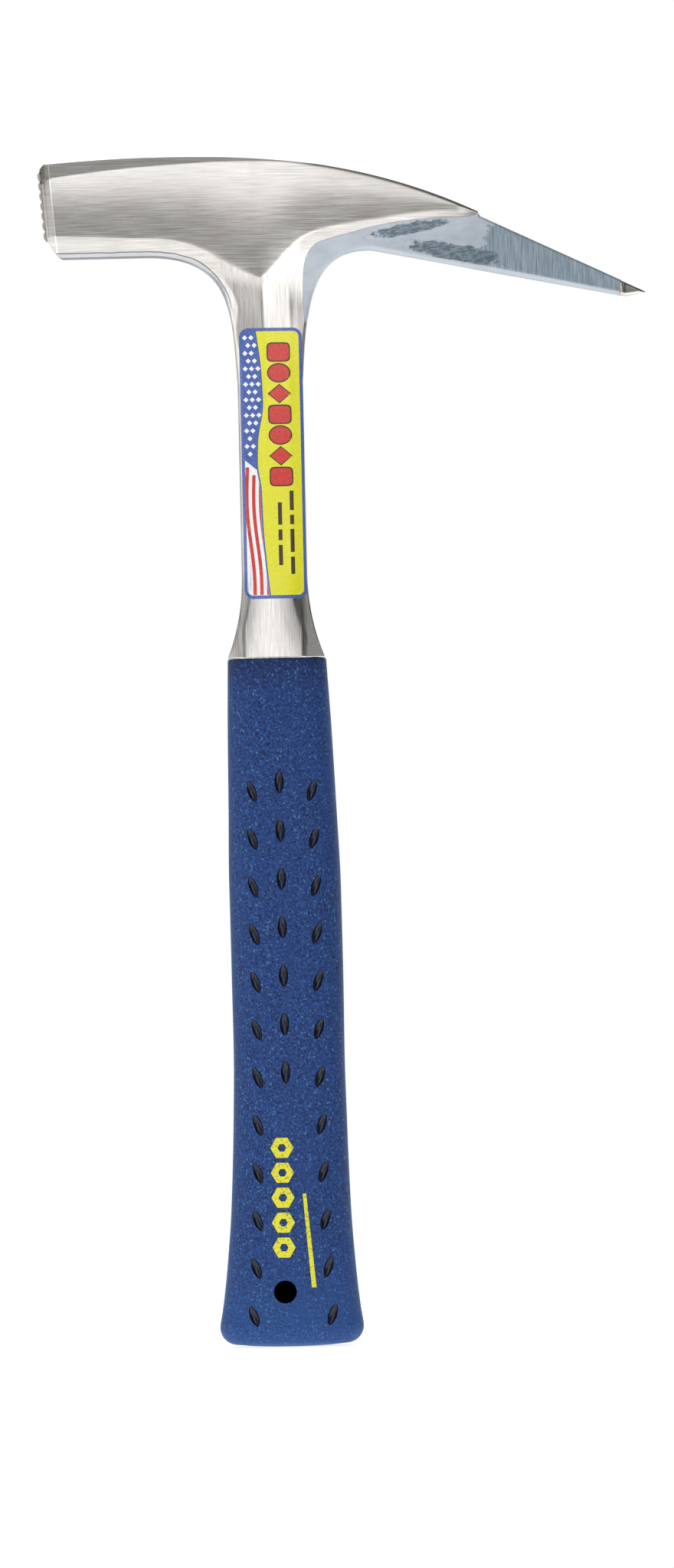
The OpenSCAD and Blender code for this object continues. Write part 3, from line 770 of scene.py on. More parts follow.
class ForgePaint(Surface):
    """Thin blue-grey air-dried paint over forged and ground steel.

    It follows what is under it: smooth under the cheek, pitted where scale flaked off, and darker
    with fine upright scratches where the taper was ground. A lighter tint along the pick's
    underside is a painted reflection.
    """

    name = "thin satin paint on forged steel"

    def __init__(self) -> None:
        """Builds the finish. The mesh stores under, the distance from the underside in millimetres."""
        super().__init__()
        scratch = self.grain(0.34, 2.0, 7.0, detail=3.0, rough=0.65)
        cloud = self.grain(5.0, 5.0, 2.6, detail=4.0, rough=0.6)
        chips = self.grain(1.6, 1.6, 1.0, detail=4.0, rough=0.65)
        pits = self.grain(1.9, 1.9, 0.5, detail=4.0, rough=0.7)
        ragged = self.add("ShaderNodeMath", {
            0: self.add("ShaderNodeMath", {0: cloud, 1: 0.5}, operation="MULTIPLY"),
            1: self.add("ShaderNodeMath", {0: chips, 1: 0.5}, operation="MULTIPLY"),
        }, operation="ADD")
        x, z = (
            self.add("ShaderNodeMath", {
                0: self.add("ShaderNodeSeparateXYZ", {0: self.place}).outputs[name], 1: 1000,
            }, operation="MULTIPLY")
            for name in "XZ")
        edge = self.add("ShaderNodeMath", {
            0: x,
            1: self.add("ShaderNodeMath", {
                0: self.add("ShaderNodeMath", {0: z, 1: 307.0}, operation="SUBTRACT"), 1: -0.55,
            }, operation="MULTIPLY"),
        }, operation="ADD")
        edge = self.add("ShaderNodeMath", {
            0: edge, 1: self.add("ShaderNodeMapRange", {0: ragged, 1: 0.3, 2: 0.7, 3: -3.5, 4: 3.5}),
        }, operation="ADD")
        taper = self.add("ShaderNodeMapRange", {0: edge, 1: 60.6, 2: 61.6})
        upper = self.patch((39.0, 309.0), (10.5, 1.5), 9.0, ragged)
        lower = self.patch((52.0, 302.2), (13.0, 2.3), -11.0, ragged)
        forged = self.add("ShaderNodeMath", {0: upper, 1: lower}, operation="MAXIMUM")
        pitted = self.add("ShaderNodeMath", {
            0: forged, 1: self.add("ShaderNodeMapRange", {0: pits, 1: 0.56, 2: 0.46}),
        }, operation="MULTIPLY")
        base = self.add("ShaderNodeMix", {
            "Factor": self.add("ShaderNodeMapRange", {0: cloud, 1: 0.3, 2: 0.7}), 6: "#a9b2bd",
            7: "#bdc4ce",
        }, data_type="RGBA")
        base = self.add("ShaderNodeMix", {
            "Factor": self.add("ShaderNodeMapRange", {0: scratch, 1: 0.3, 2: 0.7, 3: 0.0, 4: 0.25}),
            6: base, 7: "#a3adb8",
        }, data_type="RGBA")
        ground = self.add("ShaderNodeMix", {
            "Factor": self.add("ShaderNodeMapRange", {0: scratch, 1: 0.32, 2: 0.68}), 6: "#687a89",
            7: "#a0aeb8",
        }, data_type="RGBA")
        base = self.add("ShaderNodeMix", {"Factor": taper, 6: base, 7: ground}, data_type="RGBA")
        base = self.add("ShaderNodeMix", {
            "Factor": self.add("ShaderNodeMath", {0: forged, 1: 0.8}, operation="MULTIPLY"), 6: base,
            7: "#718390",
        }, data_type="RGBA")
        base = self.add("ShaderNodeMix", {
            "Factor": self.add("ShaderNodeMath", {0: pitted, 1: 0.7}, operation="MULTIPLY"), 6: base,
            7: "#43525d",
        }, data_type="RGBA")
        # painted reflection: a lighter tint along the pick's underside, within about a millimetre of the
        # lower right outline
        painted_reflection_strip = self.add("ShaderNodeMath", {
            0: self.add("ShaderNodeMapRange", {
                0: self.add("ShaderNodeAttribute", attribute_name="under").outputs["Fac"], 1: 1.2,
                2: 0.9,
            }),
            1: self.add("ShaderNodeMapRange", {0: x, 1: 22, 2: 30}),
        }, operation="MULTIPLY")
        base = self.add("ShaderNodeMix", {
            "Factor": self.add("ShaderNodeMath", {0: painted_reflection_strip, 1: 0.8}, operation="MULTIPLY"), 6: base,
            7: "#c6cdd4",
        }, data_type="RGBA")
        flake = self.add("ShaderNodeBump", {
            "Height": self.add("ShaderNodeMath", {0: 1.0, 1: forged}, operation="SUBTRACT"),
            "Distance": 0.12 * MM, "Strength": 0.7,
            "Normal": self.add("ShaderNodeBump", {
                "Height": scratch, "Distance": 0.02 * MM, "Strength": 0.5,
            }),
        })
        self.set(
            Base_Color=base, Metallic=0.2, IOR=1.5, Coat_Weight=0.15, Coat_Roughness=0.3,
            Roughness=self.add("ShaderNodeMapRange", {0: cloud, 1: 0.2, 2: 0.8, 3: 0.36, 4: 0.52}),
            Normal=self.add("ShaderNodeBump", {
                "Height": self.add("ShaderNodeMath", {0: pits, 1: forged}, operation="MULTIPLY"),
                "Distance": 0.35 * MM, "Strength": 0.9, "Normal": flake,
            }))


class GripVinyl(Surface):
    """Nylon vinyl moulded in a sand-blasted mould: matt blue with a fine bright and dark speckle."""

    name = "moulded nylon vinyl, blasted"

    def __init__(self) -> None:
        """Builds the finish. The speckle is coarser than the blast, so that it shows."""
        super().__init__()
        speck = self.grain(0.6, detail=3.0, rough=0.75)
        fleck = self.grain(0.7, detail=2.0, rough=0.6)
        cloud = self.grain(9, 9, 14, detail=3.0)
        base = self.add("ShaderNodeMix", {
            "Factor": self.add("ShaderNodeMapRange", {0: speck, 1: 0.36, 2: 0.64}), 6: "#070f34",
            7: "#2c5398",
        }, data_type="RGBA")
        base = self.add("ShaderNodeMix", {
            "Factor": self.add("ShaderNodeMapRange", {0: fleck, 1: 0.6, 2: 0.7, 3: 0.0, 4: 0.55}),
            6: base, 7: "#6ea6cc",
        }, data_type="RGBA")
        base = self.add("ShaderNodeMix", {
            "Factor": self.add("ShaderNodeMapRange", {0: cloud, 1: 0.35, 2: 0.7, 3: 0.0, 4: 0.3}),
            6: base, 7: "#1f3d80",
        }, data_type="RGBA")
        # painted shade: the vinyl darkens over the band below the grip's top edge, broken up by the fleck
        # noise
        height = self.add("ShaderNodeMath", {
            0: self.add("ShaderNodeSeparateXYZ", {0: self.place}).outputs["Z"],
            1: self.add("ShaderNodeMapRange", {0: cloud, 1: 0.2, 2: 0.8, 3: -0.002, 4: 0.002}),
        }, operation="ADD")
        dark = self.add("ShaderNodeMath", {
            0: self.add("ShaderNodeMapRange", {0: height, 1: 0.181, 2: 0.189}),
            1: self.add("ShaderNodeMapRange", {0: fleck, 1: 0.3, 2: 0.62, 3: 1.0, 4: 0.3}),
        }, operation="MULTIPLY")
        base = self.add("ShaderNodeMix", {"Factor": dark, 6: base, 7: "#0f1d48"}, data_type="RGBA")
        base = self.add("ShaderNodeMix", {
            "Factor": self.add("ShaderNodeMapRange", {
                0: self.add("ShaderNodeSeparateXYZ", {0: self.place}).outputs["Z"], 1: 0.03, 2: 0.0,
                3: 0.0, 4: 0.35,
            }),
            6: base, 7: "#2f5c9c",
        }, data_type="RGBA")
        self.set(
            Base_Color=base, IOR=1.45, Specular_IOR_Level=0.35, Sheen_Weight=0.28, Sheen_Roughness=0.35,
            Sheen_Tint=colour("#8fb4d8"),
            Roughness=self.add("ShaderNodeMapRange", {0: speck, 1: 0.3, 2: 0.7, 3: 0.55, 4: 0.75}),
            Normal=self.add("ShaderNodeBump", {
                "Height": speck, "Distance": 0.12 * MM, "Strength": 0.8,
            }))


class DimpleVinylPaintedShade(Surface):
    """The same vinyl where polished pins in the mould left it smooth and glossy. Its colour is painted near
    black, as shade inside the dimples and peg holes.
    """

    name = "moulded nylon vinyl, glossy"

    def __init__(self) -> None:
        """Builds the finish."""
        super().__init__()
        cloud = self.grain(1.5)
        # near-black base colour: painted shade in the recesses
        self.set(
            IOR=1.5,
            Base_Color=self.add("ShaderNodeMix", {
                "Factor": self.add("ShaderNodeMapRange", {0: cloud, 1: 0.3, 2: 0.7}), 6: "#070c1c",
                7: "#0e1730",
            }, data_type="RGBA"),
            Roughness=self.add("ShaderNodeMapRange", {0: cloud, 1: 0.3, 2: 0.7, 3: 0.14, 4: 0.24}),
            Normal=self.add("ShaderNodeBump", {
                "Height": cloud, "Distance": 0.05 * MM, "Strength": 0.5,
            }))


class Ink(Enum):
    """Printed colours of the label, under one clear gloss film."""

    BLUE = ("label ink, blue", "#3f5ba6", "#5872b8")
    YELLOW = ("label ink, yellow", "#e3e02a", "#eeea3c")
    WHITE = ("label ink, white", "#eef0f4", "#ffffff")
    RED = ("label ink, red", "#c9302c", "#d8433a")
    DARK = ("label ink, dark", "#3a2a22", "#4a382c")


class LabelFilm(Surface):
    """Vinyl film printed in flat inks: a smooth gloss with a faint halftone grain."""

    def __init__(self, ink: Ink) -> None:
        """Builds the finish in one ink."""
        self.name, low, high = ink.value
        super().__init__()
        dots, wave = self.grain(0.5), self.grain(12, 12, 20, detail=1.0)
        self.set(
            Base_Color=self.add("ShaderNodeMix", {
                "Factor": self.add("ShaderNodeMapRange", {0: dots, 1: 0.35, 2: 0.65}), 6: low, 7: high,
            }, data_type="RGBA"),
            IOR=1.46, Coat_Weight=0.4, Coat_Roughness=0.1,
            Roughness=self.add("ShaderNodeMapRange", {0: wave, 1: 0.3, 2: 0.7, 3: 0.28, 4: 0.36}),
            Normal=self.add("ShaderNodeBump", {
                "Height": wave, "Distance": 0.05 * MM, "Strength": 0.15,
            }))


class FoilYellow(Surface):
    """Yellow foil hot-stamped on rough vinyl: it breaks up where the vinyl's grain is low."""

    name = "hot-stamped yellow foil"

    def __init__(self) -> None:
        """Builds the finish."""
        super().__init__()
        grain = self.grain(0.55, detail=3.0, rough=0.65)
        self.set(
            IOR=1.5,
            Base_Color=self.add("ShaderNodeMix", {
                "Factor": self.add("ShaderNodeMapRange", {0: grain, 1: 0.36, 2: 0.46}), 6: "#7d8646",
                7: "#e4dd2c",
            }, data_type="RGBA"),
            Roughness=self.add("ShaderNodeMapRange", {0: grain, 1: 0.3, 2: 0.7, 3: 0.6, 4: 0.4}),
            Normal=self.add("ShaderNodeBump", {
                "Height": grain, "Distance": 0.1 * MM, "Strength": 0.6,
            }))


class BondPrimerPaintedShade(Surface):
    """Sprayed bonding primer on the tang, slightly uneven. Its colour is painted near black with no specular,
    as shade at the bottom of the peg holes.
    """

    name = "sprayed bonding primer"

    def __init__(self) -> None:
        """Builds the finish."""
        super().__init__()
        grain = self.grain(0.9, detail=3.0)
        base = self.add("ShaderNodeMix", {
            "Factor": self.add("ShaderNodeMapRange", {0: grain, 1: 0.3, 2: 0.7}), 6: "#020203",
            7: "#060608",
        }, data_type="RGBA")
        # near black with no specular: painted shade where the primer shows in the peg holes
        self.set(
            Specular_IOR_Level=0.0, Base_Color=base,
            Roughness=self.add("ShaderNodeMapRange", {0: grain, 1: 0.3, 2: 0.7, 3: 0.6, 4: 0.75}),
            Normal=self.add("ShaderNodeBump", {
                "Height": grain, "Distance": 0.05 * MM, "Strength": 0.4,
            }))


# ------------------------------------------------------------------ geometry node helpers


class NodeKit(NodeTree):
    """A geometry node tree with named sizes, and the means to run it once and keep its mesh."""

    def __init__(self, name: str, sizes: dict[str, float], things: dict[str, bpy.types.ID]) -> None:
        """Makes the tree with its inputs.

        Args:
            name: Name of the tree.
            sizes: Named numbers, which become float inputs.
            things: Named materials and objects, which become inputs of their kinds.
        """
        super().__init__(bpy.data.node_groups.new(name, "GeometryNodeTree"))
        self.values: dict[str, object] = {**sizes, **things}
        kinds = {"Geometry": "Geometry", **{
            key: "Float" if isinstance(value, float) else "Object" if isinstance(value, Piece) else "Material"
            for key, value in self.values.items()}}
        for key, kind in kinds.items():
            self.tree.interface.new_socket(key, in_out="INPUT", socket_type="NodeSocket" + kind)
        self.tree.interface.new_socket("Geometry", in_out="OUTPUT", socket_type="NodeSocketGeometry")
        self.into = self.add("NodeGroupInput").outputs

    def run(self, piece: Piece, name: str, last: Socket) -> Piece:
        """Runs the tree on a piece and keeps the result as a plain mesh.

        Args:
            piece: Object whose mesh goes into the tree. It is removed.
            name: Name of the new object.
            last: Geometry that the tree gives out.

        Returns:
            The new object.
        """
        self.add("NodeGroupOutput", {"Geometry": last})
        modifier = piece.modifiers.new("build", "NODES")
        modifier.node_group = self.tree
        for item in self.tree.interface.items_tree:
            if item.in_out == "INPUT" and item.name in self.values:
                modifier[item.identifier] = self.values[item.name]
        bpy.context.view_layer.update()
        graph = bpy.context.evaluated_depsgraph_get()
        mesh = bpy.data.meshes.new_from_object(piece.evaluated_get(graph), depsgraph=graph)
        piece.modifiers.remove(modifier)
        bpy.data.objects.remove(piece)
        mesh.name = name
        result = bpy.data.objects.new(name, mesh)
        bpy.context.scene.collection.objects.link(result)
        return result


# ------------------------------------------------------------------ forging


@dataclass
class Forging:
    """Head and shank of one piece of steel, whose tang runs on inside the grip, and the paint on its pick."""

    shape: ForgingShape = field(default_factory=ForgingShape)
    paint_thick: float = 0.12

    def ground_finish(self) -> GroundSteel:
        """Finish of the ground faces, with its painted highlight line at the chamfer where the shape has it.
        """
        s = self.shape
        return GroundSteel(s.chamfer - s.face_reach, s.face_slope, s.face_mid)

    def teeth(self, steel: bpy.types.Material) -> Piece:
        """Milled teeth of the striking face: blunt pyramids on a square grid.

        Args:
            steel: Material of the teeth.

        Returns:
            The teeth as one piece.
        """
        s = self.shape
        kit = NodeKit("milled teeth", {
            "Pitch": s.tooth_pitch * MM, "Depth": s.tooth_depth * MM, "Blunt": 0.42,
        }, {"Steel": steel})
        foot = kit.add("ShaderNodeMath", {0: kit.into["Pitch"], 1: 0.66}, operation="MULTIPLY")
        crest = kit.add("ShaderNodeMath", {0: foot, 1: kit.into["Blunt"]}, operation="MULTIPLY")
        cone = kit.add("GeometryNodeMeshCone", {
            "Radius Bottom": foot, "Radius Top": crest, "Depth": kit.into["Depth"],
            "Vertices": 4, "Side Segments": 3})
        square = kit.add("GeometryNodeTransform", {
            "Geometry": cone.outputs["Mesh"], "Rotation": (0, 0, math.pi / 4)})
        facing = kit.add("GeometryNodeTransform", {
            "Geometry": square.outputs[0], "Rotation": (0, -math.pi / 2 - math.atan(s.face_slope), 0)})
        placed = kit.add("GeometryNodeInstanceOnPoints", {
            "Points": kit.into["Geometry"], "Instance": facing.outputs[0]})
        real = kit.add("GeometryNodeRealizeInstances", {"Geometry": placed.outputs[0]})
        dressed = kit.add("GeometryNodeSetMaterial", {
            "Geometry": real.outputs[0], "Material": kit.into["Steel"]})
        places = []
        half_y, half_z, half_corner = 9.9, 9.2, 15.2
        for row in np.arange(-3.0, 3.1):
            for col in np.arange(-3.5, 3.6):
                y, z = col * s.tooth_pitch, row * s.tooth_pitch
                if abs(y) < half_y and abs(z) < half_z and abs(y) + abs(z) < half_corner:
                    x = -s.face_reach + s.tooth_depth - s.face_slope * z
                    places.append((x, y, z + s.face_mid))
        return kit.run(new_piece("tooth_places", np.array(places), []), "milled_teeth", dressed.outputs[0])

    def steel(self, polish: Surface, milled: Surface) -> Piece:
        """Builds the forging above the grip, dressed.

        Args:
            polish: Finish of the ground faces.
            milled: Finish of the striking face.

        Returns:
            The forging.
        """
        verts, faces, flat = SheetMesh(self.shape).build()
        piece = new_piece("forged_steel", verts, faces)
        face_outwards(piece)
        x, z = flat[:, 0], flat[:, 1]
        line = self.shape.cheek_border(x)
        neck = np.clip((13 - np.abs(x - self.shape.ridge_x)) / 3.0, 0, 1)
        paint_points(piece, "shank", np.clip(0.5 + (line - z) / 3.0, 0, 1) * neck)
        paint_points(piece, "foot", distance_to(flat, self.shape.left_line()))
        paint_points(piece, "rim", np.maximum(self.shape.top_z(x) - z, 0))
        piece.data.materials.append(polish.material)
        piece.data.materials.append(milled.material)
        edge = (-self.shape.face_reach + self.shape.tooth_depth + 0.9) * MM
        for face in piece.data.polygons:
            if face.center.x < edge and face.normal.x < -0.5:
                face.material_index = 1
        teeth = self.teeth(milled.material)
        return joined(piece, teeth)

    def paint(self, finish: Surface) -> Piece:
        """Builds the coat of paint over the pick and the underside of the head.

        Args:
            finish: The paint.

        Returns:
            The coat, a thin skin that follows the steel.
        """
        s = self.shape
        upper = s.crease(np.linspace(0, 1, 190))
        bend = bezier(s.right_fillet, np.linspace(0.32, 1, 110))
        straight = spread(s.under_x + 0.5, s.step_x + 0.3, 0.4)
        lower = np.vstack([bend, np.column_stack([straight, s.pick_under(straight)])])
        run = np.concatenate([[0], np.cumsum(np.hypot(*np.diff(lower, axis=0).T))])
        share = np.linspace(0, run[-1], len(upper))
        lower = np.column_stack([np.interp(share, run, lower[:, i]) for i in (0, 1)])
        end = s.pick_reach - s.bare_tip
        beyond = spread(s.step_x + 0.7, end, 0.42)
        ragged = np.concatenate([np.zeros(len(beyond) - 1), [1.0]])
        upper = np.vstack([upper, np.column_stack([beyond, s.top_z(beyond)])])
        under_x = beyond - 1.4 * ragged
        lower = np.vstack([lower, np.column_stack([under_x, s.pick_under(under_x)])])
        across = edge_fine(34)
        flat = mix(upper[:, None, :], lower[:, None, :], across[None, :, None])
        rows, cols = flat.shape[:2]
        x, z = flat[..., 0].ravel(), flat[..., 1].ravel()
        lift = np.full((rows, cols), self.paint_thick)
        sunk = -0.1
        lift[0], lift[-1] = sunk, sunk
        on_cheek = upper[:, 0] < s.step_x + 0.5
        lift[on_cheek, 0] = sunk
        half = s.half_thick(x, z) + lift.ravel()
        out = z.reshape(rows, cols)
        out[:, -1] -= self.paint_thick
        out[~on_cheek, 0] += self.paint_thick
        front = np.column_stack([x, -half, out.ravel()])
        count = len(front)
        verts = np.vstack([front, front * [1, -1, 1]])
        quads = np.array(grid_faces(rows, cols))
        faces = quads[:, ::-1].tolist() + (quads + count).tolist()
        numbers = np.arange(count).reshape(rows, cols)
        for rim in (numbers[:, -1], numbers[~on_cheek, 0][::-1]):
            faces += [(a, b, b + count, a + count) for a, b in zip(rim[:-1], rim[1:])]
        piece = new_piece("pick_paint_coat", verts, faces)
        face_outwards(piece)
        paint_points(piece, "under", np.tile(distance_to(np.column_stack([x, z]), s.right_line()), 2))
        piece.data.materials.append(finish.material)
        return piece


def joined(main: Piece, *others: Piece) -> Piece:
    """Joins pieces into the first one, with their materials.

    Args:
        main: Piece that stays.
        *others: Pieces that go into it.

    Returns:
        The joined piece.
    """
    with bpy.context.temp_override(active_object=main, selected_editable_objects=[main, *others]):
        bpy.ops.object.join()
    return main


# ------------------------------------------------------------------ grip


@dataclass(frozen=True)
class GripShape:
    """Size of the moulded grip, in millimetres."""

    length: float = 191.0
    middle: float = 31.0
    butt: float = 40.0
    collar: float = 27.0
    depth: float = 24.0
    bow_by: float = 1.0
    hole_x: float = -1.4
    hole_z: float = 15.5
    hole_d: float = 6.35
    tang_half: float = 3.3
    squareness: float = 2.3
    middle_top: float = 0.82
    middle_pitch: float = 13.4
    side_top: float = 0.807
    side_pitch: float = 13.2
    side_lean: float = 22.0
    dimple_length: float = 6.4
    dimple_width: float = 2.6
    dimple_depth: float = 1.1

    def bow(self, z: Array) -> Array:
        """Sideways place of the grip's middle at height z."""
        return self.bow_by * np.sin(np.pi * np.clip(z / self.length, 0, 1)) + 0.1

    def half_x(self, z: Array) -> Array:
        """Half width at height z."""
        m, b, c = self.middle / 2, self.butt / 2, self.collar / 2
        return curve(z / self.length, [
            (0.03, b), (0.065, b - 1.1), (0.13, b - 2.4), (0.2, mix(m, b, 0.25)), (0.33, m + 0.25),
            (0.43, m - 0.1), (0.55, m), (0.67, m), (0.78, m - 0.5), (0.9, mix(m, c, 0.55)), (1.0, c + 0.15)])

    def half_y(self, z: Array) -> Array:
        """Half depth at height z."""
        return self.depth / 2 * curve(z / self.length, [
            (0.03, 1.06), (0.065, 1.06), (0.13, 1.04), (0.2, 1.02), (0.33, 1.0), (0.43, 0.99), (0.67, 1.0),
            (0.78, 0.98), (0.9, 0.94), (1.0, 0.88)])

    def surface_y(self, x: Array, z: Array) -> Array:
        """Distance of the front surface from y = 0."""
        u = np.clip(np.abs(x - self.bow(z)) / self.half_x(z), 0, 0.985)
        return self.half_y(z) * (1 - u**self.squareness) ** (1 / self.squareness)


@dataclass
class Grip:
    """Moulded grip with its thumb dimples, its peg hole and the emblem on its front."""

    shape: GripShape = field(default_factory=GripShape)
    round_ring: int = 168
    butt_round: float = 4.8

    def blank(self) -> Piece:
        """Builds the grip without its dimples: a closed loft with a rounded butt."""
        s, r = self.shape, self.butt_round
        dish, wall, top = 0.7, 6.0, s.length - 0.7
        rings = [(dish * k**2.5, wall, r, k) for k in (0.03, 0.2, 0.4, 0.55, 0.7, 0.82, 0.92)]
        rings += [(dish + r * (1 - math.cos(a)), wall, r * (1 - math.sin(a)), 1.0)
                  for a in np.linspace(0, 1.5, 12)]
        rings += [(z, z, 0.0, 1.0) for z in spread(wall + 0.2, top, 0.62)]
        rings += [(top + 0.6 * math.sin(a), s.length, 0.6 * (1 - math.cos(a)), 1.0)
                  for a in np.linspace(0.3, 1.57, 5)]
        rings += [(s.length - 0.1, s.length, 3.0, 1.0)]
        n = self.round_ring
        verts = np.vstack([
            np.column_stack([self.section(where, inset, size), np.full(n, z)])
            for z, where, inset, size in rings])
        faces: list[Sequence[int]] = [list(range(n)), list(range(len(verts) - 1, len(verts) - n - 1, -1))]
        for r0 in range(len(rings) - 1):
            lower, upper = r0 * n, (r0 + 1) * n
            faces += [(lower + k, lower + (k + 1) % n, upper + (k + 1) % n, upper + k) for k in range(n)]
        piece = new_piece("grip_blank", verts, faces)
        face_outwards(piece)
        return piece

    def section(self, z: float, inset: float, size: float) -> Array:
        """Points round the grip at one height.

        Args:
            z: Height where the grip's size is read.
            inset: How far the ring is drawn in.
            size: Scale of the ring.

        Returns:
            Rows of (x, y).
        """
        s = self.shape
        a = np.linspace(0, 2 * np.pi, self.round_ring, endpoint=False)
        across, deep = (np.sign(v) * np.abs(v) ** (2 / s.squareness) for v in (np.cos(a), np.sin(a)))
        half_x, half_y = s.half_x(z) - inset, s.half_y(z) - inset
        return np.column_stack([s.bow(z) + size * half_x * across, size * half_y * deep])

    def dimple_places(self) -> Piece:
        """Points of all the dimples, each with the turn of its almond shape."""
        s = self.shape
        spots = [(0.0, (s.middle_top - k * s.middle_pitch / s.length) * s.length, 0.0) for k in range(7)]
        for k in range(12):
            z = (s.side_top - k * s.side_pitch / s.length) * s.length
            spots += [(s.bow(z) * 0.4 + side * (0.56 + 0.03 * side) * s.half_x(z), z, side * s.side_lean)
                      for side in (-1, 1)]
        places, turns = [], []
        for x, z, lean in spots:
            y = float(s.surface_y(x, z))
            tilt = math.atan(float(s.surface_y(x - 1, z) - s.surface_y(x + 1, z)) / 2)
            for face in (-1, 1):
                places.append((float(x), face * y, z))
                turns.append((0.0, math.radians(lean), -face * tilt))
        piece = new_piece("dimple_places", np.array(places), [])
        layer = piece.data.attributes.new("turn", "FLOAT_VECTOR", "POINT")
        layer.data.foreach_set("vector", np.array(turns, dtype=np.float32).ravel())
        return piece

    def build(self, vinyl: Surface, gloss: Surface) -> Piece:
        """Cuts the dimples and the peg holes into the grip.

        Args:
            vinyl: Finish of the outer surface.
            gloss: Finish inside the dimples and holes, painted near black as shade.

        Returns:
            The finished grip.
        """
        s = self.shape
        blank, places = self.blank(), self.dimple_places()
        blank.data.materials.append(vinyl.material)
        kit = NodeKit("thumb dimples", {
            "Dimple Length": s.dimple_length * MM, "Dimple Width": s.dimple_width * MM,
            "Dimple Depth": s.dimple_depth * MM, "Hole Diameter": s.hole_d * MM,
        }, {"Gloss": gloss.material, "Places": places})
        ball = kit.add("GeometryNodeMeshUVSphere", {"Segments": 28, "Rings": 22, "Radius": 1.0})
        position = kit.add("GeometryNodeInputPosition").outputs[0]
        at = kit.add("ShaderNodeSeparateXYZ", {0: position}).outputs
        rest = kit.add("ShaderNodeMath", {
            0: 1.0, 1: kit.add("ShaderNodeMath", {0: at["Z"], 1: at["Z"]}, operation="MULTIPLY"),
        }, operation="SUBTRACT", use_clamp=True)
        thin = kit.add("ShaderNodeMath", {0: rest, 1: 0.2}, operation="POWER")
        almond_at = kit.add("ShaderNodeCombineXYZ", {
            "X": kit.add("ShaderNodeMath", {0: at["X"], 1: thin}, operation="MULTIPLY"),
            "Y": kit.add("ShaderNodeMath", {0: at["Y"], 1: thin}, operation="MULTIPLY"), "Z": at["Z"],
        })
        almond = kit.add("GeometryNodeSetPosition", {
            "Geometry": ball.outputs["Mesh"], "Position": almond_at.outputs[0]})
        half_w, half_l, pin_r = (
            kit.add("ShaderNodeMath", {0: kit.into[name], 1: 0.5}, operation="MULTIPLY")
            for name in ("Dimple Width", "Dimple Length", "Hole Diameter"))
        scale = kit.add("ShaderNodeCombineXYZ", {"X": half_w, "Y": kit.into["Dimple Depth"], "Z": half_l})
        sized = kit.add("GeometryNodeTransform", {"Geometry": almond.outputs[0], "Scale": scale.outputs[0]})
        spots = kit.add("GeometryNodeObjectInfo", {"Object": kit.into["Places"]})
        turn = kit.add("GeometryNodeInputNamedAttribute", {"Name": "turn"}, data_type="FLOAT_VECTOR")
        euler = kit.add("FunctionNodeEulerToRotation", {0: turn.outputs[0]})
        cutters = kit.add("GeometryNodeInstanceOnPoints", {
            "Points": spots.outputs["Geometry"], "Instance": sized.outputs[0], "Rotation": euler.outputs[0]})
        pin_length, overlap = 0.02, 0.4
        pin = kit.add("GeometryNodeMeshCylinder", {"Radius": pin_r, "Vertices": 56, "Depth": pin_length})
        pins = [kit.add("GeometryNodeTransform", {
            "Geometry": pin.outputs["Mesh"], "Rotation": (math.pi / 2, 0, 0), "Translation": (
                s.hole_x * MM, side * ((s.tang_half - overlap) * MM + pin_length / 2), s.hole_z * MM),
        }) for side in (-1, 1)]
        tools = kit.add("GeometryNodeJoinGeometry")
        for node in (cutters, *pins):
            kit.tree.links.new(node.outputs[0], tools.inputs[0])
        real = kit.add("GeometryNodeRealizeInstances", {"Geometry": tools.outputs[0]})
        glossy = kit.add("GeometryNodeSetMaterial", {
            "Geometry": real.outputs[0], "Material": kit.into["Gloss"]})
        cut = kit.add("GeometryNodeMeshBoolean", {0: kit.into["Geometry"], 1: glossy.outputs[0]},
                      operation="DIFFERENCE", solver="EXACT")
        piece = kit.run(blank, "moulded_grip", cut.outputs[0])
        bpy.data.objects.remove(places)
        piece.data.shade_smooth()
        piece.data.set_sharp_from_angle(angle=math.radians(32))
        return piece


# ------------------------------------------------------------------ printed pieces


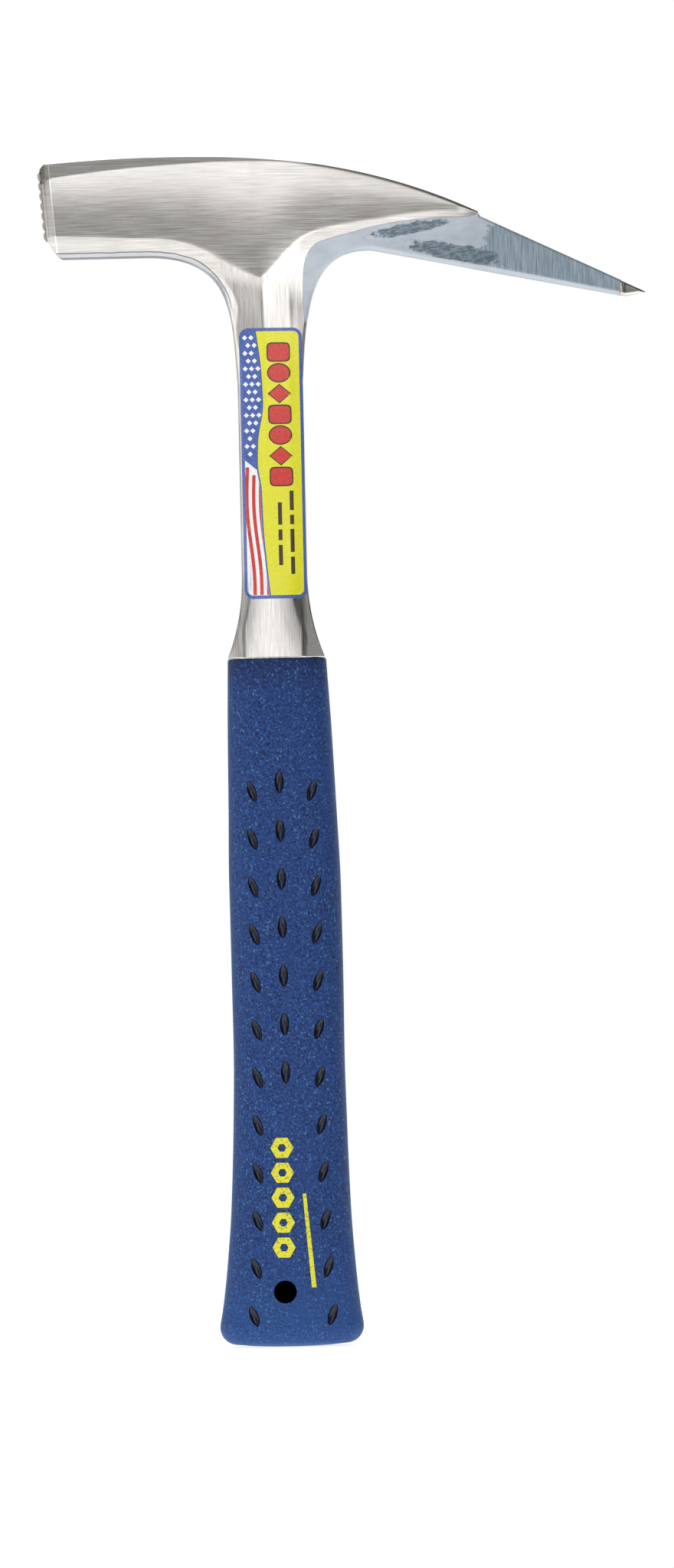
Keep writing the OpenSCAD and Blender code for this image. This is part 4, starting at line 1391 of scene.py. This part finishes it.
class Print:
    """Flat shapes laid on a curved surface, each a small grid of points."""

    def __init__(self, name: str, depth: Callable[[Array, Array], Array]) -> None:
        """Starts an empty print.

        Args:
            name: Name of the piece.
            depth: Distance of the surface from y = 0, at x and z.
        """
        self.name, self.depth = name, depth
        self.verts: list[Array] = []
        self.faces: list[list[int]] = []
        self.inks: list[int] = []
        self.finishes: list[Surface] = []

    def _lay(self, x: Array, z: Array, lift: Array, ink: Surface) -> None:
        """Adds a grid of points with its faces towards -Y."""
        if ink not in self.finishes:
            self.finishes.append(ink)
        start = sum(len(v) for v in self.verts)
        y = -(self.depth(x.ravel(), z.ravel()) + lift.ravel())
        self.verts.append(np.column_stack([x.ravel(), y, z.ravel()]))
        for a, b, c, d in grid_faces(*x.shape, start):
            self.faces.append([a, b, c, d])
            self.inks.append(self.finishes.index(ink))

    def band(self, low: float, high: float, left: Callable[[Array], Array], right: Callable[[Array], Array],
             lift: float, ink: Surface, edge: float = 0.0, step: float = 0.45) -> None:
        """Lays the area between two lines that run up the handle.

        Args:
            low: Lowest height.
            high: Highest height.
            left: x of the left line at a height.
            right: x of the right line at a height.
            lift: Height over the surface, in millimetres.
            ink: Finish.
            edge: How far the rim drops, to close the shape on the surface.
            step: Distance between rows.
        """
        z = low + (high - low) * (1 - np.cos(np.linspace(0, np.pi, int(abs(high - low) / step) + 9))) / 2
        wide = float(np.max(np.abs(right(z) - left(z))))
        u = np.linspace(0, 1, max(3, int(wide / 0.6) + 2))
        if edge:
            u = np.concatenate([[0.0], u, [1.0]])
            z = np.concatenate([[z[0]], z, [z[-1]]])
        x = mix(left(z)[:, None], right(z)[:, None], u[None, :])
        lifts = np.full(x.shape, lift)
        if edge:
            lifts[0], lifts[-1], lifts[:, 0], lifts[:, -1] = [lift - edge] * 4
        self._lay(x, np.repeat(z[:, None], len(u), axis=1), lifts, ink)

    def ring(self, x: float, z: float, inner: float, outer: float, corners: int, lift: float, ink: Surface,
             edge: float = 0.0) -> None:
        """Lays a ring or disc with straight sides.

        Args:
            x: Place of its middle.
            z: Height of its middle.
            inner: Radius of its opening at the corners.
            outer: Radius of its corners.
            corners: Number of corners.
            lift: Height over the surface.
            ink: Finish.
            edge: How far the rims drop, to close the shape on the surface.
        """
        a = np.linspace(0, -2 * np.pi, corners * 8 + 1)
        reach = math.cos(math.pi / corners) / np.cos((a % (2 * math.pi / corners)) - math.pi / corners)
        u = np.linspace(0, 1, 6)
        lifts = np.full((len(a), len(u) + 2 * bool(edge)), lift)
        if edge:
            u = np.concatenate([[0.0], u, [1.0]])
            lifts[:, 0], lifts[:, -1] = lift - edge, lift - edge
        radius = mix(inner, outer, u)[None, :] * reach[:, None]
        self._lay(x + radius * np.cos(a)[:, None], z + radius * np.sin(a)[:, None], lifts, ink)

    def finish(self) -> Piece:
        """Makes the piece with all its shapes and finishes."""
        piece = new_piece(self.name, np.vstack(self.verts), self.faces)
        for ink in self.finishes:
            piece.data.materials.append(ink.material)
        piece.data.polygons.foreach_set("material_index", self.inks)
        flip = [f.index for f in piece.data.polygons if f.normal.y > 0]
        if flip:
            work = bmesh.new()
            work.from_mesh(piece.data)
            work.faces.ensure_lookup_table()
            bmesh.ops.reverse_faces(work, faces=[work.faces[i] for i in flip])
            work.to_mesh(piece.data)
            work.free()
        piece.data.set_sharp_from_angle(angle=math.radians(40))
        return piece


@dataclass
class ShankLabel:
    """Printed film on the front of the shank: plain fields, bars and shapes, with no lettering."""

    shape: ForgingShape
    length: float = 75.0
    width: float = 17.4
    middle_x: float = 0.3
    corner: float = 2.5
    border: float = 0.9
    thick: float = 0.12
    layer: float = 0.02
    speck_pitch: tuple[float, float] = (1.75, 2.15)
    mark_pitch: float = 5.75

    @property
    def top(self) -> float:
        """Height of the film's upper end."""
        return self.shape.neck_z + 15.5

    @property
    def low(self) -> float:
        """Height of the film's lower end."""
        return self.top - self.length

    @property
    def left(self) -> float:
        """x of the film's left side."""
        return self.middle_x - self.width / 2

    def rim(self, side: int, inset: float = 0.0) -> Line:
        """Left (-1) or right (1) rim of the film, drawn in by inset, with its round corners."""
        radius, half = self.corner - inset, self.width / 2

        def read(z: Array) -> Array:
            """x of the rim at z."""
            near = np.minimum(z - self.low - inset, self.top - inset - z)
            rest = np.clip(1 - near / radius, 0, 1)
            corner = radius * (1 - np.sqrt(np.maximum(1 - rest * rest, 0)))
            return self.middle_x + side * (half - inset - corner)
        return read

    def field_edge(self, z: Array) -> Array:
        """Line between the blue and striped areas and the yellow field."""
        return self.left + curve((z - self.low) / self.length, [
            (0.0, 7.4), (0.12, 6.5), (0.26, 5.7), (0.4, 5.4), (0.5, 4.5), (0.58, 4.7), (0.72, 6.3),
            (0.84, 6.0), (1.0, 4.6)])

    def build(self, inks: dict[Ink, Surface]) -> Piece:
        """Lays the film and its printed shapes.

        Args:
            inks: Finish of each ink.

        Returns:
            The label.
        """
        low, top, split = self.low, self.top, self.low + 0.50 * self.length
        sheet = Print("label_film", self.shape.half_thick)
        sheet.band(low, top, self.rim(-1), self.rim(1), self.thick, inks[Ink.BLUE], edge=self.thick + 0.05)
        lift = self.thick + self.layer
        left, right = self.rim(-1, self.border), self.rim(1, self.border)
        sheet.band(low + self.border, top - self.border, lambda z: np.maximum(self.field_edge(z), left(z)),
                   right, lift, inks[Ink.YELLOW])
        sheet.band(low + self.border, split + 1.0, left, lambda z: np.minimum(
            self.field_edge(z), self.left + 0.9 + (split + 1.0 - z) * 1.2 + 0.4) - 0.45,
            lift, inks[Ink.WHITE])
        for k in range(3):
            def stripe(z: Array, shift: float) -> Array:
                """Line of a stripe, which waves between the film's rim and the yellow field."""
                wave = 0.5 * np.sin((z - low) / self.length * 4 * np.pi + 0.6)
                line = self.left + (1.5 + 1.9 * k) + wave + (split - z) * 0.035 - 0.7 + shift
                return np.clip(line, left(z), self.field_edge(z) - 0.5)

            sheet.band(low + self.border + 0.15, split - 1.0 - 2.2 * k, lambda z: stripe(z, 0.0),
                       lambda z: stripe(z, 0.95), lift + self.layer, inks[Ink.RED])
        self._specks(sheet, inks[Ink.WHITE], split, lift)
        self._marks(sheet, inks, lift)
        return sheet.finish()

    def _specks(self, sheet: Print, ink: Surface, split: float, lift: float) -> None:
        """Lays small white lozenges over the blue area, in staggered rows."""
        for row in range(16):
            z = self.top - 2.6 - row * self.speck_pitch[1]
            for col in range(4):
                x = self.left + 1.55 + col * self.speck_pitch[0] + (row % 2) * 0.85
                if x < float(self.field_edge(np.array([z]))[0]) - 0.75 and z > split + 1.5:
                    sheet.ring(x, z, 0.0, 0.72, 4, lift, ink)

    def _marks(self, sheet: Print, inks: dict[Ink, Surface], lift: float) -> None:
        """Lays the red shapes with dark outlines, and the rows of dark bars."""
        for k, power in enumerate((5.0, 2.0, 1.0, 5.0, 2.0, 1.0, 5.0)):
            z0 = self.low + 0.945 * self.length - 2.6 - k * self.mark_pitch
            x0 = self.middle_x + 2.1 + 0.02 * k
            for grow, ink, rise in ((0.38, Ink.DARK, 1), (0.0, Ink.RED, 2)):
                tall, wide = 2.35 + grow, 2.9 + grow

                def half_at(z: Array) -> Array:
                    """Half width of the shape at z."""
                    t = np.clip(np.abs(z - z0) / tall, 0, 1)
                    return wide * (1 - t**power) ** (1 / power)

                sheet.band(z0 - tall, z0 + tall, lambda z: x0 - half_at(z), lambda z: x0 + half_at(z),
                           lift + rise * self.layer, inks[ink], step=0.3)
        for x0, start, lengths in ((5.2, 29.8, (5.4, 2.6, 6.4, 4.8)), (1.9, 26.6, (6.2, 3.0, 5.6))):
            top = self.low + start
            for length in lengths:
                sheet.band(top - length, top, lambda z: np.full_like(z, x0 - 0.55),
                           lambda z: np.full_like(z, x0 + 0.55), lift + self.layer, inks[Ink.DARK])
                top -= length + 1.3


@dataclass
class GripEmblem:
    """Plain column of six-sided rings with a tapered bar, stamped on the front of the grip."""

    shape: GripShape
    thick: float = 0.25
    ring_pitch: float = 6.9
    ring_inner: float = 1.2
    ring_outer: float = 3.2
    bar_half: float = 13.0

    def build(self, foil: Surface) -> Piece:
        """Lays the rings and the bar.

        Args:
            foil: Finish of the emblem.

        Returns:
            The emblem.
        """
        s = self.shape
        mark = Print("stamped_emblem", s.surface_y)
        edge, half = self.thick + 0.1, self.bar_half
        for k in range(5):
            mark.ring(-1.5, 0.29 * s.length - self.ring_pitch * k, self.ring_inner, self.ring_outer, 6,
                      self.thick, foil, edge=edge)
        x, z = float(s.bow(0.15 * s.length)) + 5, 0.155 * s.length
        mark.band(z - half, z + half, lambda h: x + mix(0.4, -1.6, (h - z + half) / (2 * half)),
                  lambda h: x + mix(1.7, -0.6, (h - z + half) / (2 * half)), self.thick, foil, edge=edge)
        return mark.finish()


# ------------------------------------------------------------------ studio


@dataclass
class Studio:
    """Pale floor, soft lights and the camera."""

    distance: float = 4.0
    view_height: float = 0.4352
    aim: tuple[float, float] = (0.0160, 0.1557)
    roll: float = 1.28
    upper_row: tuple[tuple[float, float], ...] = (
        (-90, 0.62), (-70, 0.5), (-50, 0.28), (-32, 0.35), (-20, 0.6), (-9, 1.5), (8, 1.5), (18, 0.8),
        (28, 0.1), (64, 0.08), (76, 0.35), (90, 0.4))
    level_row: tuple[tuple[float, float], ...] = (
        (-90, 1.5), (-72, 1.5), (-62, 0.7), (-30, 0.62), (-20, 0.85), (-13, 0.7), (-5, 0.42), (8, 0.42),
        (18, 0.62), (26, 1.6), (44, 1.6), (60, 0.3), (78, 0.08), (90, 0.5))
    lower_row: tuple[tuple[float, float], ...] = (
        (-90, 1.6), (-80, 1.5), (-72, 0.65), (-44, 0.68), (-33, 0.82), (-22, 0.95), (-12, 0.55), (4, 0.4),
        (16, 0.8), (24, 1.9), (90, 1.9))
    table: float = 1.85
    table_radius: float = 300.0
    ceiling: float = 0.42

    def floor(self) -> Piece:
        """Lays a plain pale round table top."""
        a = np.linspace(0, 2 * np.pi, 96, endpoint=False)
        rim = self.table_radius * np.column_stack([np.cos(a), np.sin(a), np.zeros(len(a))])
        piece = new_piece("studio_floor", rim, [range(len(a))])
        paper = Surface()
        paper.material.name = "matt white paper"
        paper.set(Base_Color=colour("#f4f4f2"), Roughness=0.9, Emission_Color=(1, 1, 1, 1),
                  Emission_Strength=0.72)
        piece.data.materials.append(paper.material)
        return piece

    def lamp(self, name: str, place: tuple[float, float, float], size: float, watts: float) -> None:
        """Hangs a square soft light that faces the middle of the hammer and shows in no reflection.

        Args:
            name: Name of the light.
            place: Where it hangs, in metres.
            size: Side of its square.
            watts: Power.
        """
        data = bpy.data.lights.new(name, "AREA")
        data.energy, data.size = watts, size
        lamp = bpy.data.objects.new(name, data)
        lamp.location = place
        lamp.rotation_euler = (Vector((0.02, 0, 0.2)) - Vector(place)).to_track_quat("-Z", "Y").to_euler()
        lamp.visible_glossy = False
        bpy.context.scene.collection.objects.link(lamp)

    def world(self) -> None:
        """Surrounds the scene with soft panels, the same in front and behind.

        Three rows of panels go round the hammer, above, at and below eye level, with a dim
        ceiling and a white table. The grey gaps between them draw the facets of the steel.
        """
        world = bpy.data.worlds.new("studio cove")
        bpy.context.scene.world = world
        world.use_nodes = True
        kit = NodeTree(world.node_tree)
        place = kit.add("ShaderNodeTexCoord").outputs["Generated"]
        axes = kit.add("ShaderNodeSeparateXYZ", {0: place}).outputs
        turn = kit.add("ShaderNodeMath", {
            0: axes["X"], 1: kit.add("ShaderNodeMath", {0: axes["Y"]}, operation="ABSOLUTE"),
        }, operation="ARCTAN2")
        rise = kit.add("ShaderNodeMath", {0: axes["Z"]}, operation="ARCSINE")

        def row(stops: Sequence[tuple[float, float]], by: Wire = rise) -> Socket:
            """Brightness that follows an angle, from (degrees, level) stops."""
            share = kit.add("ShaderNodeMapRange", {
                "Value": by, "From Min": -math.pi / 2, "From Max": math.pi / 2})
            node = kit.add("ShaderNodeValToRGB", {0: share.outputs[0]})
            ramp = node.color_ramp
            ramp.interpolation = "EASE"
            while len(ramp.elements) < len(stops):
                ramp.elements.new(0.5)
            for element, (angle, level) in zip(ramp.elements, stops):
                element.position, element.color = (angle + 90) / 180, (level, level, level, 1)
            return node.outputs[0]

        upper, level, lower = (row(stops, turn) for stops in (self.upper_row, self.level_row, self.lower_row))
        around = kit.add("ShaderNodeMix", {
            "Factor": row([(-3.0, 0.0), (11.0, 1.0)]), 6: level, 7: upper,
        }, data_type="RGBA")
        around = kit.add("ShaderNodeMix", {
            "Factor": row([(-30.0, 0.0), (-18.0, 1.0)]), 6: lower, 7: around,
        }, data_type="RGBA")
        ends = row([(-72.0, self.table), (-50.0, 0.0), (60.0, 0.0), (68.0, self.ceiling)])
        lit = kit.add("ShaderNodeMix", {
            "Factor": row([(-70.0, 1.0), (-50.0, 0.0), (58.0, 0.0), (66.0, 1.0)]), 6: around, 7: ends,
        }, data_type="RGBA")
        seen = kit.add("ShaderNodeLightPath").outputs["Is Camera Ray"]
        back = kit.add("ShaderNodeBackground", {
            "Color": kit.add("ShaderNodeMix", {
                "Factor": seen, 6: lit, 7: "#ffffff",
            }, data_type="RGBA"),
        })
        kit.add("ShaderNodeOutputWorld", {0: back.outputs[0]})

    def camera(self) -> None:
        """Sets the camera level with the middle of the hammer, square to its labelled side."""
        data = bpy.data.cameras.new("camera")
        data.sensor_fit, data.sensor_height = "VERTICAL", 36.0
        data.lens = 36.0 * self.distance / self.view_height
        camera = bpy.data.objects.new("camera", data)
        turn = Matrix.Rotation(math.radians(self.roll), 4, "Y") @ Matrix.Rotation(math.pi / 2, 4, "X")
        camera.matrix_world = Matrix.Translation((self.aim[0], -self.distance, self.aim[1])) @ turn
        bpy.context.scene.collection.objects.link(camera)
        bpy.context.scene.camera = camera

    def build(self) -> None:
        """Sets up the whole studio."""
        self.floor()
        self.world()
        self.lamp("front_softbox", (-0.9, -2.2, 1.6), 1.2, 14.0)
        self.lamp("rear_softbox", (0.9, 2.2, 1.6), 1.2, 14.0)
        self.camera()
        bpy.context.scene.view_settings.view_transform = "Standard"


# ------------------------------------------------------------------ assembly


def settle(piece: Piece, slot: str, *nodes: str) -> None:
    """Puts a finished piece in the frame, in place of its CAD nodes, which it hides."""
    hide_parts(*nodes)
    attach(piece, "root")
    LOG.info("%s: %d faces", piece.name, len(piece.data.polygons))


def main() -> None:
    """Builds the studio, then the hammer from the steel outwards."""
    logging.basicConfig(level=logging.INFO, format="%(name)s %(message)s")
    Studio().build()
    forging = Forging()
    settle(forging.steel(forging.ground_finish(), MilledSteel()), "polished_steel", "forging")
    settle(forging.paint(ForgePaint()), "blue_grey_paint", "pick_paint")
    inks = {ink: LabelFilm(ink) for ink in Ink}
    settle(ShankLabel(forging.shape).build(inks), "label_film", "shank_label")
    grip = Grip()
    settle(grip.build(GripVinyl(), DimpleVinylPaintedShade()), "blue_grip", "grip")
    settle(GripEmblem(grip.shape).build(FoilYellow()), "yellow_foil", "grip_emblem")
    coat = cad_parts["bond_coat"]
    coat.data.materials.clear()
    coat.data.materials.append(BondPrimerPaintedShade().material)
    LOG.info("bond_coat dressed")
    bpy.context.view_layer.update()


if __name__ == "__main__":
    main()
